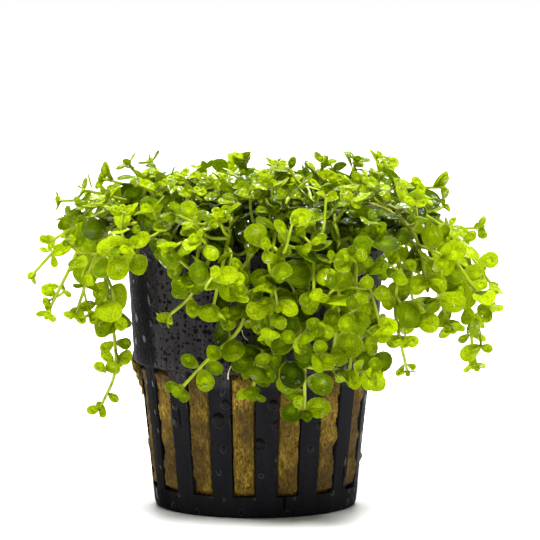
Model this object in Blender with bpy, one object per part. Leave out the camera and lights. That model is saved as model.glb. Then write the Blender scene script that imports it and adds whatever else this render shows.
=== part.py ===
"""Micranthemum in a 5 cm net pot: the pot, its rockwool and the leafy sprigs, each one closed solid.

Sizes are in millimetres and become metres when a mesh is made. The origin is the centre of the pot's
underside, +Z is up and -Y faces the viewer. A sprig is one solid: a square stem that roots in the
rockwool, with pairs of round leaves drawn out of its sides, each pair turned 90 degrees to the last.
"""
import math

import bpy
import numpy as np

MM = 0.001
TOUCHING_GAP = 0.3

# Net pot
POT_HEIGHT = 50.0
LIP_RADIUS = 27.0
LIP_THICKNESS = 1.2
BAND_TOP_RADIUS = 24.3
BAND_BOTTOM_RADIUS = 22.9
BAND_BOTTOM_Z = 26.9
BAND_STEP_HEIGHT = 0.6
RIB_TOP_RADIUS = 21.8
BASE_RADIUS = 19.0
WALL = 1.1
SLOT_COUNT = 15
SLOT_SHARE = 0.52
SLOT_BOTTOM_Z = 4.0
SLOTS_PER_DRAIN = 3
HUB_RADIUS = 5.5
DRAIN_INNER_RADIUS = 7.5
DRAIN_OUTER_RADIUS = 14.0

# Rockwool
WOOL_TOP_Z = 44.5
WOOL_TOP_RADIUS = 22.3
WOOL_BOTTOM_Z = WALL + TOUCHING_GAP

# Sprigs
STEM_HALF_WIDTH = 0.45
STEM_TIP_SHARE = 0.7
NODE_HALF_LENGTH = 0.45
ROOT_Z = WOOL_TOP_Z + TOUCHING_GAP
PETIOLE = 0.5
LEAF_HALF_THICKNESS = 0.22
LEAF_CUP = 0.12
LEAF_OUTLINE_POINTS = 5
FIRST_NODE = 1.1
INTERNODES = (4.4, 5.2, 6.0, 6.4, 6.8)
LEAF_GAP = 0.75
STEM_GAP = 1.55
STEM_LEAF_GAP = 0.95
BEND_TOLERANCE = 0.95

# Each sprig: name, leaf radius, pairs of leaves, and the points that its stem passes, the tip last.
SPRIGS = (
    ("left_sprig_1", 2.0, 4, ((-24, -2, 57), (-31.5, -2.5, 51), (-35.5, -4, 43.5), (-39, -4, 36.5))),
    ("left_sprig_2", 1.8, 3, ((-26, 3.5, 55), (-35, 4, 50.5), (-42.5, 4, 43))),
    ("left_sprig_3", 2.1, 3, ((-22, 6, 55), (-30, 6.5, 57), (-37, 6, 57))),
    ("left_sprig_4", 2.3, 3, ((-20, -3, 54), (-26, -3, 58), (-32, -2, 59.5))),
    ("left_sprig_5", 2.3, 2, ((-17, 9, 54), (-23, 10, 59), (-29, 10, 61))),
    ("left_sprig_6", 2.9, 5, ((-21, -9, 54), (-28.5, -9.5, 51), (-27, -10, 39), (-26, -10, 27),
                             (-29, -8, 19))),
    ("left_sprig_7", 2.3, 3, ((-22, -14, 54), (-28.5, -15, 49.5), (-33, -15, 37.5))),
    ("left_sprig_8", 1.9, 3, ((-22, -8, 57), (-31, -11, 54.5), (-38, -12, 50.5))),
    ("front_sprig_1", 2.4, 2, ((-3, -16, 54), (-9, -23.5, 53), (-15, -28, 48.5))),
    ("front_sprig_2", 2.7, 3, ((-12, -17, 55), (-18.5, -25, 52.5), (-25.5, -25, 49))),
    ("front_sprig_3", 2.4, 3, ((7, -16, 55), (2.5, -25.5, 53), (-2.5, -32, 47))),
    ("front_sprig_4", 1.8, 3, ((-8, -18, 53), (-9, -28.8, 50), (-12, -29.5, 42), (-16, -28, 38))),
    ("front_sprig_5", 2.7, 2, ((-6, -18, 57), (-9.5, -28.5, 53), (-11, -32, 45.5))),
    ("front_sprig_6", 2.5, 5, ((1, -19, 54), (0, -29.5, 50), (-1.5, -29.5, 38), (-7.5, -29, 30.5),
                              (-13.5, -27.5, 25))),
    ("front_sprig_7", 2.8, 3, ((-3, -15, 58), (-5, -29.5, 53), (-7.5, -33, 40))),
    ("front_sprig_8", 2.7, 4, ((5, -18, 54), (4.5, -29, 49.5), (1, -28, 34), (-0.5, -27.5, 24.5))),
    ("front_sprig_9", 2.5, 3, ((6, -16, 59), (4, -31, 53), (3, -36, 36))),
    ("front_sprig_10", 2.9, 5, ((11, -17, 54), (10, -29, 49.5), (9, -30, 34), (9, -28.5, 21.5))),
    ("front_sprig_11", 2.8, 4, ((13, -14, 58), (15, -29, 52), (15, -33, 42), (14, -33, 32))),
    ("front_sprig_12", 2.5, 4, ((16, -15, 53), (18, -25.5, 49.5), (18, -27, 38), (17, -26.5, 27.5))),
    ("front_sprig_13", 2.7, 3, ((17, -13, 59), (20, -24, 54), (20.5, -28.5, 46), (22.5, -28, 37))),
    ("front_sprig_14", 1.6, 1, ((19, -12, 54), (25.5, -17, 49.5), (25.5, -17.5, 38), (28, -15, 27))),
    ("front_sprig_15", 2.8, 3, ((9, -13, 60), (10.5, -28, 56), (10.5, -36, 43))),
    ("right_sprig_1", 2.4, 5, ((24, -3, 54), (34, -3.5, 50), (39.5, -4, 39), (41, -4, 27))),
    ("right_sprig_2", 3.3, 3, ((23, 1, 57), (36, 0.5, 52), (45, 0, 41))),
    ("right_sprig_3", 3.1, 3, ((22, -6, 57), (34, -8.5, 50.5), (43, -9.5, 38))),
    ("right_sprig_4", 2.6, 3, ((22, 5, 58), (34, 6, 54), (43, 6, 45))),
    ("right_sprig_5", 2.1, 3, ((22, 9, 55), (33, 11, 51.5), (43, 11, 51.5))),
    ("right_sprig_6", 2.4, 3, ((18, 6, 56), (27, 7.5, 59), (35.5, 8, 59.5))),
    ("right_sprig_7", 2.9, 3, ((19, -10, 57), (28, -15.5, 53.5), (31.5, -18.5, 44))),
    ("right_sprig_8", 2.8, 4, ((21, -7, 53), (29.5, -9.5, 49), (36, -12.5, 35))),
    ("crown_sprig_1", 2.4, 2, ((-17, 4, 55), (-24, 5, 64))),
    ("crown_sprig_2", 2.5, 2, ((-14, 10, 54), (-20, 13, 64))),
    ("crown_sprig_3", 2.4, 2, ((-11, -4, 54), (-14, -6, 62))),
    ("crown_sprig_4", 2.5, 3, ((-8, 6, 54), (-10, 8, 63))),
    ("crown_sprig_5", 2.3, 3, ((-1, 0, 55), (-2, 0, 65.5))),
    ("crown_sprig_6", 2.4, 3, ((3, 10, 54), (4, 13, 63.5))),
    ("crown_sprig_7", 2.6, 2, ((4, -6, 54), (6, -9, 62))),
    ("crown_sprig_8", 2.4, 3, ((10, 4, 54), (13, 5, 64.5))),
    ("crown_sprig_9", 2.3, 3, ((15, -1, 55), (19, -2, 65))),
    ("crown_sprig_10", 2.5, 2, ((19.5, 1.5, 55), (24.5, 3, 64.5))),
    ("crown_sprig_11", 2.5, 2, ((-6, -11, 55), (-8, -17, 61))),
    ("crown_sprig_12", 2.6, 2, ((11, -9, 54), (15, -14, 61.5))),
    ("back_sprig_1", 2.6, 3, ((17, 14, 57), (27, 21, 53), (31, 24, 40))),
    ("back_sprig_2", 2.6, 3, ((11, 18, 57), (18, 29, 53), (20, 33, 42))),
    ("back_sprig_3", 2.7, 4, ((4, 19, 57), (6, 30, 52), (7, 33, 34))),
    ("back_sprig_4", 2.6, 3, ((-4, 19, 58), (-7, 31, 54), (-9, 36, 43))),
    ("back_sprig_5", 2.7, 3, ((-11, 17, 57), (-18, 27, 53), (-21, 31, 37))),
    ("back_sprig_6", 2.5, 3, ((-18, 13, 57), (-28, 19, 53), (-33, 21, 42))),
    ("back_sprig_7", 2.5, 2, ((-4, 13, 55), (-6, 20, 62))),
    ("back_sprig_8", 2.5, 2, ((11, 12, 55), (15, 19, 62))),
)


def band_radius(z):
    """Outer radius of the pot's plain band at height z, from its lower edge to the lip."""
    share = (z - BAND_BOTTOM_Z) / (POT_HEIGHT - BAND_BOTTOM_Z)
    return BAND_BOTTOM_RADIUS + share * (BAND_TOP_RADIUS - BAND_BOTTOM_RADIUS)


def rib_radius(z):
    """Outer radius of the slotted body at height z, from the base to the band."""
    return BASE_RADIUS + z / BAND_BOTTOM_Z * (RIB_TOP_RADIUS - BASE_RADIUS)


def make_object(name, points, faces, material):
    """Add a mesh object whose points are given in millimetres."""
    mesh = bpy.data.meshes.new(name)
    mesh.from_pydata([tuple(MM * float(value) for value in point) for point in points], [], faces)
    mesh.validate()
    mesh.materials.append(material)
    mesh.shade_smooth()
    mesh.set_sharp_from_angle(angle=math.radians(35))
    part = bpy.data.objects.new(name, mesh)
    bpy.context.scene.collection.objects.link(part)
    return part


def make_material(name, color, roughness):
    """A plain Principled material."""
    material = bpy.data.materials.new(name)
    material.use_nodes = True
    shader = material.node_tree.nodes["Principled BSDF"]
    shader.inputs["Base Color"].default_value = (*color, 1.0)
    shader.inputs["Roughness"].default_value = roughness
    return material


def ring_points(radius, z, angles):
    """One level ring of points; the radius is one number or one for each angle."""
    radius = np.broadcast_to(radius, angles.shape)
    return np.stack([radius * np.cos(angles), radius * np.sin(angles), np.full(len(angles), z)], axis=1)


def build_pot(material):
    """The net pot: a wall turned about Z in cells, left out where a slot or a drain hole opens it."""
    period = 2 * math.pi / SLOT_COUNT
    starts = np.arange(SLOT_COUNT) * period - SLOT_SHARE * period / 2
    angles = np.sort(np.concatenate([starts, starts + SLOT_SHARE * period]))
    lip_under = POT_HEIGHT - LIP_THICKNESS
    step_top = BAND_BOTTOM_Z + BAND_STEP_HEIGHT
    rows = (
        ((HUB_RADIUS, 0.0), (HUB_RADIUS, WALL)),
        ((DRAIN_INNER_RADIUS, 0.0), (DRAIN_INNER_RADIUS, WALL)),
        ((DRAIN_OUTER_RADIUS, 0.0), (DRAIN_OUTER_RADIUS, WALL)),
        ((BASE_RADIUS, 0.0), (rib_radius(WALL) - WALL, WALL)),
        ((rib_radius(SLOT_BOTTOM_Z), SLOT_BOTTOM_Z), (rib_radius(SLOT_BOTTOM_Z) - WALL, SLOT_BOTTOM_Z)),
        ((RIB_TOP_RADIUS, BAND_BOTTOM_Z), (RIB_TOP_RADIUS - WALL, BAND_BOTTOM_Z)),
        ((band_radius(step_top), step_top), (band_radius(step_top) - WALL, step_top + WALL)),
        ((band_radius(lip_under), lip_under), (band_radius(lip_under) - WALL, lip_under)),
        ((LIP_RADIUS, lip_under), (band_radius(POT_HEIGHT) - WALL, POT_HEIGHT - 0.4)),
        ((LIP_RADIUS, POT_HEIGHT), (band_radius(POT_HEIGHT) - WALL + 0.3, POT_HEIGHT)),
    )
    drain_row = 1
    slot_row = 4
    count = len(angles)
    points = []
    for outer, inner in rows:
        points.extend(ring_points(outer[0], outer[1], angles))
        points.extend(ring_points(inner[0], inner[1], angles))

    def outer_index(row, station):
        return 2 * row * count + station % count

    def inner_index(row, station):
        return (2 * row + 1) * count + station % count

    def is_open(row, station):
        if row < 0 or row >= len(rows) - 1:
            return True
        if row == slot_row:
            return station % 2 == 0
        return row == drain_row and station % (2 * SLOTS_PER_DRAIN) == 0

    faces = []
    for row in range(len(rows) - 1):
        for station in range(count):
            if is_open(row, station):
                continue
            after = station + 1
            faces.append((outer_index(row, station), outer_index(row, after),
                          outer_index(row + 1, after), outer_index(row + 1, station)))
            faces.append((inner_index(row, after), inner_index(row, station),
                          inner_index(row + 1, station), inner_index(row + 1, after)))
            if is_open(row, (station - 1) % count):
                faces.append((outer_index(row, station), outer_index(row + 1, station),
                              inner_index(row + 1, station), inner_index(row, station)))
            if is_open(row, (station + 1) % count):
                faces.append((inner_index(row, after), inner_index(row + 1, after),
                              outer_index(row + 1, after), outer_index(row, after)))
            if is_open(row + 1, station):
                faces.append((outer_index(row + 1, station), outer_index(row + 1, after),
                              inner_index(row + 1, after), inner_index(row + 1, station)))
            if row > 0 and is_open(row - 1, station):
                faces.append((inner_index(row, station), inner_index(row, after),
                              outer_index(row, after), outer_index(row, station)))
    faces.append(tuple(outer_index(0, station) for station in reversed(range(count))))
    faces.append(tuple(inner_index(0, station) for station in range(count)))
    return make_object("net_pot", points, faces, material)


def build_rockwool(material):
    """The plug of rockwool, with a ridge that fills each slot of the pot to just under its surface."""
    period = 2 * math.pi / SLOT_COUNT
    middle_radius = (BASE_RADIUS + RIB_TOP_RADIUS) / 2
    ridge_half = SLOT_SHARE * period / 2 - TOUCHING_GAP / (middle_radius - 2 * WALL)
    side = 0.05 * period
    offsets = np.array([-ridge_half - 0.001, -ridge_half + side, ridge_half - side, ridge_half + 0.001])
    angles = (np.arange(SLOT_COUNT)[:, None] * period + offsets).ravel()
    on_ridge = np.tile([False, True, True, False], SLOT_COUNT)

    def body(z):
        return rib_radius(z) - WALL - TOUCHING_GAP

    def ridged(z):
        return np.where(on_ridge, rib_radius(z) - 0.35, body(z))

    low = SLOT_BOTTOM_Z + TOUCHING_GAP
    high = BAND_BOTTOM_Z - TOUCHING_GAP
    levels = (
        (body(WOOL_BOTTOM_Z), WOOL_BOTTOM_Z),
        (body(low), low),
        (ridged(low + 0.4), low + 0.4),
        (ridged(high - 0.4), high - 0.4),
        (body(high), high),
        (WOOL_TOP_RADIUS, WOOL_TOP_Z),
    )
    points = []
    for radius, z in levels:
        points.extend(ring_points(radius, z, angles))
    count = len(angles)
    faces = [tuple(reversed(range(count)))]
    for level in range(len(levels) - 1):
        for station in range(count):
            after = (station + 1) % count
            faces.append((level * count + station, level * count + after,
                          (level + 1) * count + after, (level + 1) * count + station))
    top = (len(levels) - 1) * count
    faces.append(tuple(range(top, top + count)))
    return make_object("rockwool", points, faces, material)


def unit(vector):
    """The vector, or each row of vectors, at length one."""
    vector = np.asarray(vector, float)
    return vector / np.maximum(np.linalg.norm(vector, axis=-1, keepdims=True), 1e-9)


def smooth_path(points, step=0.5):
    """A Catmull-Rom curve through the points, read again at even steps of arc length."""
    points = np.asarray(points, float)
    ends = np.vstack([2 * points[0] - points[1], points, 2 * points[-1] - points[-2]])
    share = np.linspace(0, 1, 24, endpoint=False)[:, None]
    spans = []
    for index in range(len(points) - 1):
        a, b, c, d = ends[index:index + 4]
        spans.append(0.5 * (2 * b + (c - a) * share + (2 * a - 5 * b + 4 * c - d) * share ** 2
                            + (3 * b - a - 3 * c + d) * share ** 3))
    dense = np.vstack(spans + [points[-1:]])
    length = np.concatenate([[0], np.cumsum(np.linalg.norm(np.diff(dense, axis=0), axis=1))])
    even = np.linspace(0, length[-1], max(3, int(length[-1] / step) + 1))
    return np.stack([np.interp(even, length, dense[:, axis]) for axis in range(3)], axis=1), even


def clear_of_pot(points, margin):
    """True where no point comes within the margin of the pot's wall, its lip or the rockwool."""
    radius = np.hypot(points[:, 0], points[:, 1])
    z = points[:, 2]
    wall_inside = band_radius(z) - WALL - margin
    wall_outside = np.where(z > POT_HEIGHT - LIP_THICKNESS - margin, LIP_RADIUS, band_radius(z)) + margin
    in_wall = (z < POT_HEIGHT + margin) & (radius > wall_inside) & (radius < wall_outside)
    in_wool = (z < WOOL_TOP_Z + min(margin, TOUCHING_GAP)) & (radius <= wall_inside)
    return not (in_wall | in_wool).any()


def nearest(points, others):
    """The smallest distance between two sets of points."""
    if not len(others):
        return math.inf
    return float(np.sqrt(((points[:, None] - others[None]) ** 2).sum(axis=2)).min())


def stem_along(name, leaf_radius, pairs, way):
    """A stem through its way points: its curve, its nodes, and the chords between its rings."""
    path, along = smooth_path(way)
    nodes = []
    from_tip = FIRST_NODE
    for pair in range(pairs):
        place = along[-1] - from_tip
        if place < 6.0:
            break
        nodes.append({"along": place, "leaves": [None, None], "turn": pair % 2})
        from_tip += INTERNODES[min(pair, len(INTERNODES) - 1)]
    stem = {"name": name, "leaf_radius": leaf_radius, "path": path, "along": along, "nodes": nodes}
    stem["places"] = ring_places(stem)
    rings = np.array([at_length(stem, path, place) for place in stem["places"]])
    chords = [np.interp(along, stem["places"], rings[:, axis]) for axis in range(3)]
    stem["chords"] = np.stack(chords, axis=1)
    return stem


def grow_stems():
    """Every sprig's stem, moved a little where two would touch."""
    random = np.random.default_rng(5)
    stems = []
    for name, leaf_radius, pairs, way in SPRIGS:
        way = np.asarray(way, float)
        best = None
        for attempt in range(90):
            shift = min(1.0, attempt / 12)
            root_share = 0.62 + 0.22 * shift * random.uniform(-1, 1)
            turn = 0.35 * shift * random.uniform(-1, 1)
            x, y = way[0, :2] * root_share
            root = np.array([x * math.cos(turn) - y * math.sin(turn),
                             x * math.sin(turn) + y * math.cos(turn), ROOT_Z])
            moved = way + shift * random.uniform(-1.2, 1.2, way.shape) * np.array([1, 1, 0.5])
            moved[-1] = way[-1]
            stem = stem_along(name, leaf_radius, pairs, np.vstack([root, moved]))
            others = np.vstack([other["chords"] for other in stems]) if stems else np.empty((0, 3))
            gap = nearest(stem["chords"], others)
            if not clear_of_pot(stem["chords"][stem["along"] > 1.0], 0.8):
                gap = 0.0
            if best is None or gap > best["gap"]:
                best = {**stem, "gap": gap}
            if gap > STEM_GAP:
                break
        stems.append(best)
    return stems


def carry_frames(path):
    """Directions along and across a stem, the cross ones carried along it without twisting."""
    along = unit(np.gradient(path, axis=0))
    across = np.empty_like(path)
    first = np.array([1.0, 0.0, 0.0]) if abs(along[0, 0]) < 0.9 else np.array([0.0, 1.0, 0.0])
    across[0] = unit(first - along[0] * (first @ along[0]))
    for index in range(1, len(path)):
        carried = across[index - 1] - along[index] * (across[index - 1] @ along[index])
        across[index] = unit(carried)
    return along, across, np.cross(along, across)


def blade(base, direction, normal, radius):
    """A leaf's place: its disc's centre, its directions outward, sideways and up, and its radius."""
    direction = unit(direction)
    normal = unit(normal - direction * (normal @ direction))
    return {"base": base, "centre": base + direction * (PETIOLE + radius), "direction": direction,
            "side": np.cross(normal, direction), "normal": normal, "radius": radius}


def disc_points(leaf):
    """Test points on a leaf: its rim, a ring inside it and its centre."""
    angles = np.linspace(0, 2 * math.pi, 16, endpoint=False)
    circle = np.cos(angles)[:, None] * leaf["direction"] + np.sin(angles)[:, None] * leaf["side"]
    rings = [leaf["centre"] + leaf["radius"] * share * circle for share in (1.0, 0.55)]
    return np.vstack(rings + [leaf["centre"][None]])


def distance_to_discs(points, centres, normals, radii):
    """The smallest distance from any point to any flat disc."""
    offset = points[:, None] - centres[None]
    height = (offset * normals[None]).sum(axis=2)
    spread = np.sqrt(np.maximum((offset ** 2).sum(axis=2) - height ** 2, 0))
    return float(np.sqrt(height ** 2 + np.maximum(spread - radii[None], 0) ** 2).min())


class Thicket:
    """The leaves and stems placed so far, against which a new leaf is tested."""

    def __init__(self, stems):
        self.stem_points = np.vstack([stem["chords"] for stem in stems])
        self.stem_owner = np.concatenate([np.full(len(stem["chords"]), i) for i, stem in enumerate(stems)])
        self.stem_along = np.concatenate([stem["along"] for stem in stems])
        self.leaves = []
        self.samples = []

    def is_clear(self, leaf, owner, node_along):
        """Whether a leaf keeps its gap to the pot, to every other leaf and to every stem."""
        samples = disc_points(leaf)
        if not clear_of_pot(samples, 0.6):
            return False
        at_node = np.abs(self.stem_along - node_along) < leaf["radius"] * 0.7 + 0.8
        own = (self.stem_owner == owner) & at_node
        place = (leaf["centre"][None], leaf["normal"][None], np.array([leaf["radius"]]))
        if distance_to_discs(self.stem_points[~own], *place) < STEM_LEAF_GAP:
            return False
        near = [i for i, other in enumerate(self.leaves)
                if np.linalg.norm(other["centre"] - leaf["centre"])
                < other["radius"] + leaf["radius"] + LEAF_GAP]
        if not near:
            return True
        centres = np.array([self.leaves[i]["centre"] for i in near])
        normals = np.array([self.leaves[i]["normal"] for i in near])
        radii = np.array([self.leaves[i]["radius"] for i in near])
        if distance_to_discs(samples, centres, normals, radii) < LEAF_GAP:
            return False
        return distance_to_discs(np.vstack([self.samples[i] for i in near]), *place) >= LEAF_GAP

    def add(self, leaf):
        """Keep a leaf as placed."""
        self.leaves.append(leaf)
        self.samples.append(disc_points(leaf))


def wanted_normal(point, random):
    """Up and outward, as leaves turn to the light: more upward on the crown, more outward below the rim."""
    outward = np.array([point[0], point[1], 0.0])
    outward = outward / max(np.linalg.norm(outward), 12.0)
    height = np.clip((point[2] - 38.0) / 22.0, 0.0, 1.0)
    viewer = np.array([0.0, -0.35, 0.0]) * (point[1] < 8)
    return unit((0.25 + 0.75 * height) * np.array([0, 0, 1.0]) + (1.0 - 0.5 * height) * outward
                + viewer + 0.3 * random.normal(size=3))


def grow_leaves(stems):
    """Pairs of leaves at each stem's nodes, smallest at its tip; without a free place one is left out."""
    random = np.random.default_rng(11)
    thicket = Thicket(stems)
    for stem in stems:
        stem["frames"] = carry_frames(stem["path"])
    for order in range(max(len(stem["nodes"]) for stem in stems)):
        for owner, stem in enumerate(stems):
            if order >= len(stem["nodes"]):
                continue
            node = stem["nodes"][order]
            index = int(round(node["along"] / (stem["along"][1] - stem["along"][0])))
            point = stem["path"][index]
            tangent, across, second = (part[index] for part in stem["frames"])
            axis = second if node["turn"] == 0 else across
            grown = (0.72, 0.9, 1.0, 1.05, 1.05)[min(order, 4)]
            for side, sign in enumerate((1.0, -1.0)):
                aim = wanted_normal(point, random)
                for attempt in range(14):
                    lean = math.radians(random.uniform(10, 45) if order else random.uniform(35, 60))
                    direction = math.cos(lean) * sign * axis + math.sin(lean) * tangent
                    size = stem["leaf_radius"] * grown * (random.uniform(0.88, 1.12) - 0.025 * attempt)
                    normal = aim + 0.06 * attempt * random.normal(size=3)
                    leaf = blade(point + sign * axis * STEM_HALF_WIDTH, direction, normal, size)
                    if thicket.is_clear(leaf, owner, node["along"]):
                        thicket.add(leaf)
                        node["leaves"][side] = leaf
                        break
    return thicket


def ring_places(stem):
    """Arc lengths of the stem's rings: two at each node, and as many between as its bend needs."""
    end = stem["along"][-1]
    places = {0.0, end}
    for node in stem["nodes"]:
        places.update((node["along"] - NODE_HALF_LENGTH, min(node["along"] + NODE_HALF_LENGTH, end)))
    places = sorted(places)
    index = 0
    while index < len(places) - 1:
        low, high = places[index], places[index + 1]
        inside = (stem["along"] > low) & (stem["along"] < high)
        start, finish = (at_length(stem, stem["path"], value) for value in (low, high))
        share = ((stem["along"][inside] - low) / (high - low))[:, None]
        bulge = np.linalg.norm(stem["path"][inside] - (start + share * (finish - start)), axis=1)
        if high - low > 3.0 and len(bulge) and bulge.max() > BEND_TOLERANCE:
            places.insert(index + 1, (low + high) / 2)
        else:
            index += 1
    return places


def at_length(stem, values, place):
    """A value of the stem, given at its even points, read at an arc length."""
    return np.array([np.interp(place, stem["along"], values[:, axis]) for axis in range(3)])


def leaf_faces(leaf, corners, corner_points, points):
    """Add one leaf that grows from the four corners of a stem's side face; returns its triangles.

    The blade is a shallow lens: an outline of a few points on a circle, a top point and a bottom
    point, both sunk a little below the rim. The corners are matched to the blade's own directions.
    """
    middle = corner_points.mean(axis=0)
    angles = np.arctan2((corner_points - middle) @ leaf["normal"], (corner_points - middle) @ leaf["side"])
    first = int(np.argmin(np.abs((angles - math.pi / 4 + math.pi) % (2 * math.pi) - math.pi)))
    upper_left, upper_right, lower_right, lower_left = (corners[(first + step) % 4] for step in range(4))
    start = len(points)
    swing = np.radians(np.linspace(120, -120, LEAF_OUTLINE_POINTS))
    for angle in swing:
        points.append(leaf["centre"] + leaf["radius"] * (math.cos(angle) * leaf["direction"]
                                                         + math.sin(angle) * leaf["side"]))
    sunk = leaf["centre"] - LEAF_CUP * leaf["radius"] * leaf["normal"]
    points.append(sunk + LEAF_HALF_THICKNESS * leaf["normal"])
    points.append(sunk - LEAF_HALF_THICKNESS * leaf["normal"])
    top, bottom = len(points) - 2, len(points) - 1
    outline = list(range(start, start + LEAF_OUTLINE_POINTS))
    upper = [upper_left] + outline + [upper_right]
    lower = [lower_left] + outline + [lower_right]
    faces = [(top, upper[(i + 1) % len(upper)], upper[i]) for i in range(len(upper))]
    faces += [(bottom, lower[i], lower[(i + 1) % len(lower)]) for i in range(len(lower))]
    faces += [(upper_left, outline[0], lower_left), (outline[-1], upper_right, lower_right)]
    return faces


def build_sprig(stem, material):
    """One sprig: a four-sided stem whose side faces open into leaves at the nodes."""
    places = stem["places"]
    points = []
    for place in places:
        centre = at_length(stem, stem["path"], place)
        across = unit(at_length(stem, stem["frames"][1], place))
        tangent = unit(at_length(stem, stem["frames"][0], place))
        across = unit(across - tangent * (across @ tangent))
        second = np.cross(tangent, across)
        half = STEM_HALF_WIDTH * (1 - (1 - STEM_TIP_SHARE) * place / stem["along"][-1])
        for u, v in ((1, 1), (-1, 1), (-1, -1), (1, -1)):
            points.append(centre + half * (u * across + v * second))
    leaf_at = {}
    for node in stem["nodes"]:
        ring = int(np.argmin(np.abs(np.array(places) - (node["along"] - NODE_HALF_LENGTH))))
        for side, leaf in enumerate(node["leaves"]):
            if leaf is not None:
                face = (0, 2)[side] if node["turn"] == 0 else (3, 1)[side]
                leaf_at[ring, face] = leaf
    faces = [(3, 2, 1, 0)]
    for ring in range(len(places) - 1):
        for side in range(4):
            after = (side + 1) % 4
            quad = (4 * ring + side, 4 * ring + after, 4 * ring + 4 + after, 4 * ring + 4 + side)
            leaf = leaf_at.get((ring, side))
            if leaf is None:
                faces.append(quad)
            else:
                faces.extend(leaf_faces(leaf, quad, np.array([points[i] for i in quad]), points))
    last = 4 * (len(places) - 1)
    faces.append((last, last + 1, last + 2, last + 3))
    return make_object(stem["name"], points, faces, material)


def main():
    """Build the pot, the rockwool and the sprigs."""
    for old in list(bpy.data.objects):
        bpy.data.objects.remove(old, do_unlink=True)
    pot_material = make_material("pot_plastic", (0.022, 0.020, 0.027), 0.3)
    wool_material = make_material("rockwool", (0.20, 0.13, 0.05), 0.95)
    leaf_material = make_material("foliage", (0.23, 0.42, 0.01), 0.4)
    build_pot(pot_material)
    build_rockwool(wool_material)
    stems = grow_stems()
    grow_leaves(stems)
    for stem in stems:
        build_sprig(stem, leaf_material)


if __name__ == "__main__":
    main()
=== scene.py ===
"""The looks of a potted micranthemum: wet net pot, fibrous rockwool and leafy sprigs."""
import math

import bpy
import numpy as np
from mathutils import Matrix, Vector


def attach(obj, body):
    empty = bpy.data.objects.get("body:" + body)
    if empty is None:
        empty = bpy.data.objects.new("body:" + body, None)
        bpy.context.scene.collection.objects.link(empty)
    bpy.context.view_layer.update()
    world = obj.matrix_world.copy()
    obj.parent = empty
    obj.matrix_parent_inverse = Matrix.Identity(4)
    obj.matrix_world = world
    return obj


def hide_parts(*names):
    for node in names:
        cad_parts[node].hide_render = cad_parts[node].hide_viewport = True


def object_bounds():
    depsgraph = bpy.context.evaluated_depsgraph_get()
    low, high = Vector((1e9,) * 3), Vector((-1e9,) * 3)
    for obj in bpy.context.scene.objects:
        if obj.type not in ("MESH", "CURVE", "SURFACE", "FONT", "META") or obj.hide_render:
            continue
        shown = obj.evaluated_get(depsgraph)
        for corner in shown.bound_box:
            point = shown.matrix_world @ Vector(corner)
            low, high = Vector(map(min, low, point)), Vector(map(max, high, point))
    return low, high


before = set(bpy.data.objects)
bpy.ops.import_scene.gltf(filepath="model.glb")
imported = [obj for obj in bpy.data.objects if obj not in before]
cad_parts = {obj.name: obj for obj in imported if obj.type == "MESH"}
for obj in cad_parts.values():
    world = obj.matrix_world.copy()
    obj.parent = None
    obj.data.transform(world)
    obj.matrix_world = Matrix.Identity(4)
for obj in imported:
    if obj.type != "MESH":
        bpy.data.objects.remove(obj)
cad_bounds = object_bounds()

bl_info = {
    "name": "Potted micranthemum",
    "version": (1, 0, 0),
    "blender": (4, 5, 0),
    "location": "3D View > Sidebar > Plant",
    "description": "Builds the wet net pot, its rockwool and the round-leaved sprigs",
    "category": "Add Mesh",
}

# Lengths are millimetres up to the mesh, which is in metres; settings, materials and lights use metres
MM = 0.001
FULL_TURN = 2 * math.pi
TOUCHING_GAP = 0.3

# Net pot
POT_HEIGHT = 50.0
LIP_RADIUS = 27.0
LIP_THICKNESS = 1.2
BAND_TOP_RADIUS = 24.3
BAND_BOTTOM_RADIUS = 22.9
BAND_BOTTOM_Z = 26.9
BAND_STEP_HEIGHT = 0.6
RIB_TOP_RADIUS = 21.8
BASE_RADIUS = 19.0
WALL = 1.1
SLOT_COUNT = 15
SLOT_SHARE = 0.52
SLOT_BOTTOM_Z = 4.0
SLOTS_PER_DRAIN = 3
HUB_RADIUS = 5.5
DRAIN_INNER_RADIUS = 7.5
DRAIN_OUTER_RADIUS = 14.0

# Rockwool
WOOL_TOP_Z = 44.5
WOOL_TOP_RADIUS = 22.3
WOOL_BOTTOM_Z = WALL + TOUCHING_GAP

# Sprigs
NODE_HALF_LENGTH = 0.45
STEM_HALF_WIDTH = 0.45
ROOT_Z = WOOL_TOP_Z + TOUCHING_GAP
PETIOLE = 0.5
FIRST_NODE = 1.1
LOWEST_NODE = 6.0
INTERNODES = (4.4, 5.2, 6.0, 6.4, 6.8)
LEAF_GROWTH = (0.72, 0.9, 1.0, 1.05, 1.05)
LEAF_GAP = 0.75
STEM_GAP = 1.55
STEM_LEAF_GAP = 0.95
BEND_TOLERANCE = 0.95

# How far a stem's root and way points move to find a free way: the root's share of the way out and its
# changes, its turn about the axis, the points' own moves, and the tries until the moves are full
ROOT_SHARE = 0.62
ROOT_SHARE_MOVE = 0.22
ROOT_TURN_MOVE = 0.35
WAY_MOVE = 1.2
TRIES_TO_FULL_MOVE = 12

# How far leaves lean to the tip, in degrees: along the stem, and at its tip
LEAF_LEAN = (10, 45)
TIP_LEAF_LEAN = (35, 60)

# Gaps that stems, leaves and shoots keep, and how much of a stem's start is free of the tests
STEM_POT_GAP = 0.8
LEAF_POT_GAP = 0.6
SHOOT_POT_GAP = 0.7
SHOOT_STEM_GAP = 0.9
SHOOT_LEAF_GAP = 0.4
STEM_START = 1.0
SHOOT_START = 1.2

# Tries for a free place, and the seeds of the random draws
STEM_TRIES = 90
LEAF_TRIES = 14
STEM_SEED = 5
LEAF_SEED = 11
FINE_SEED = 28
SURFACE_SEED = 31

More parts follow.
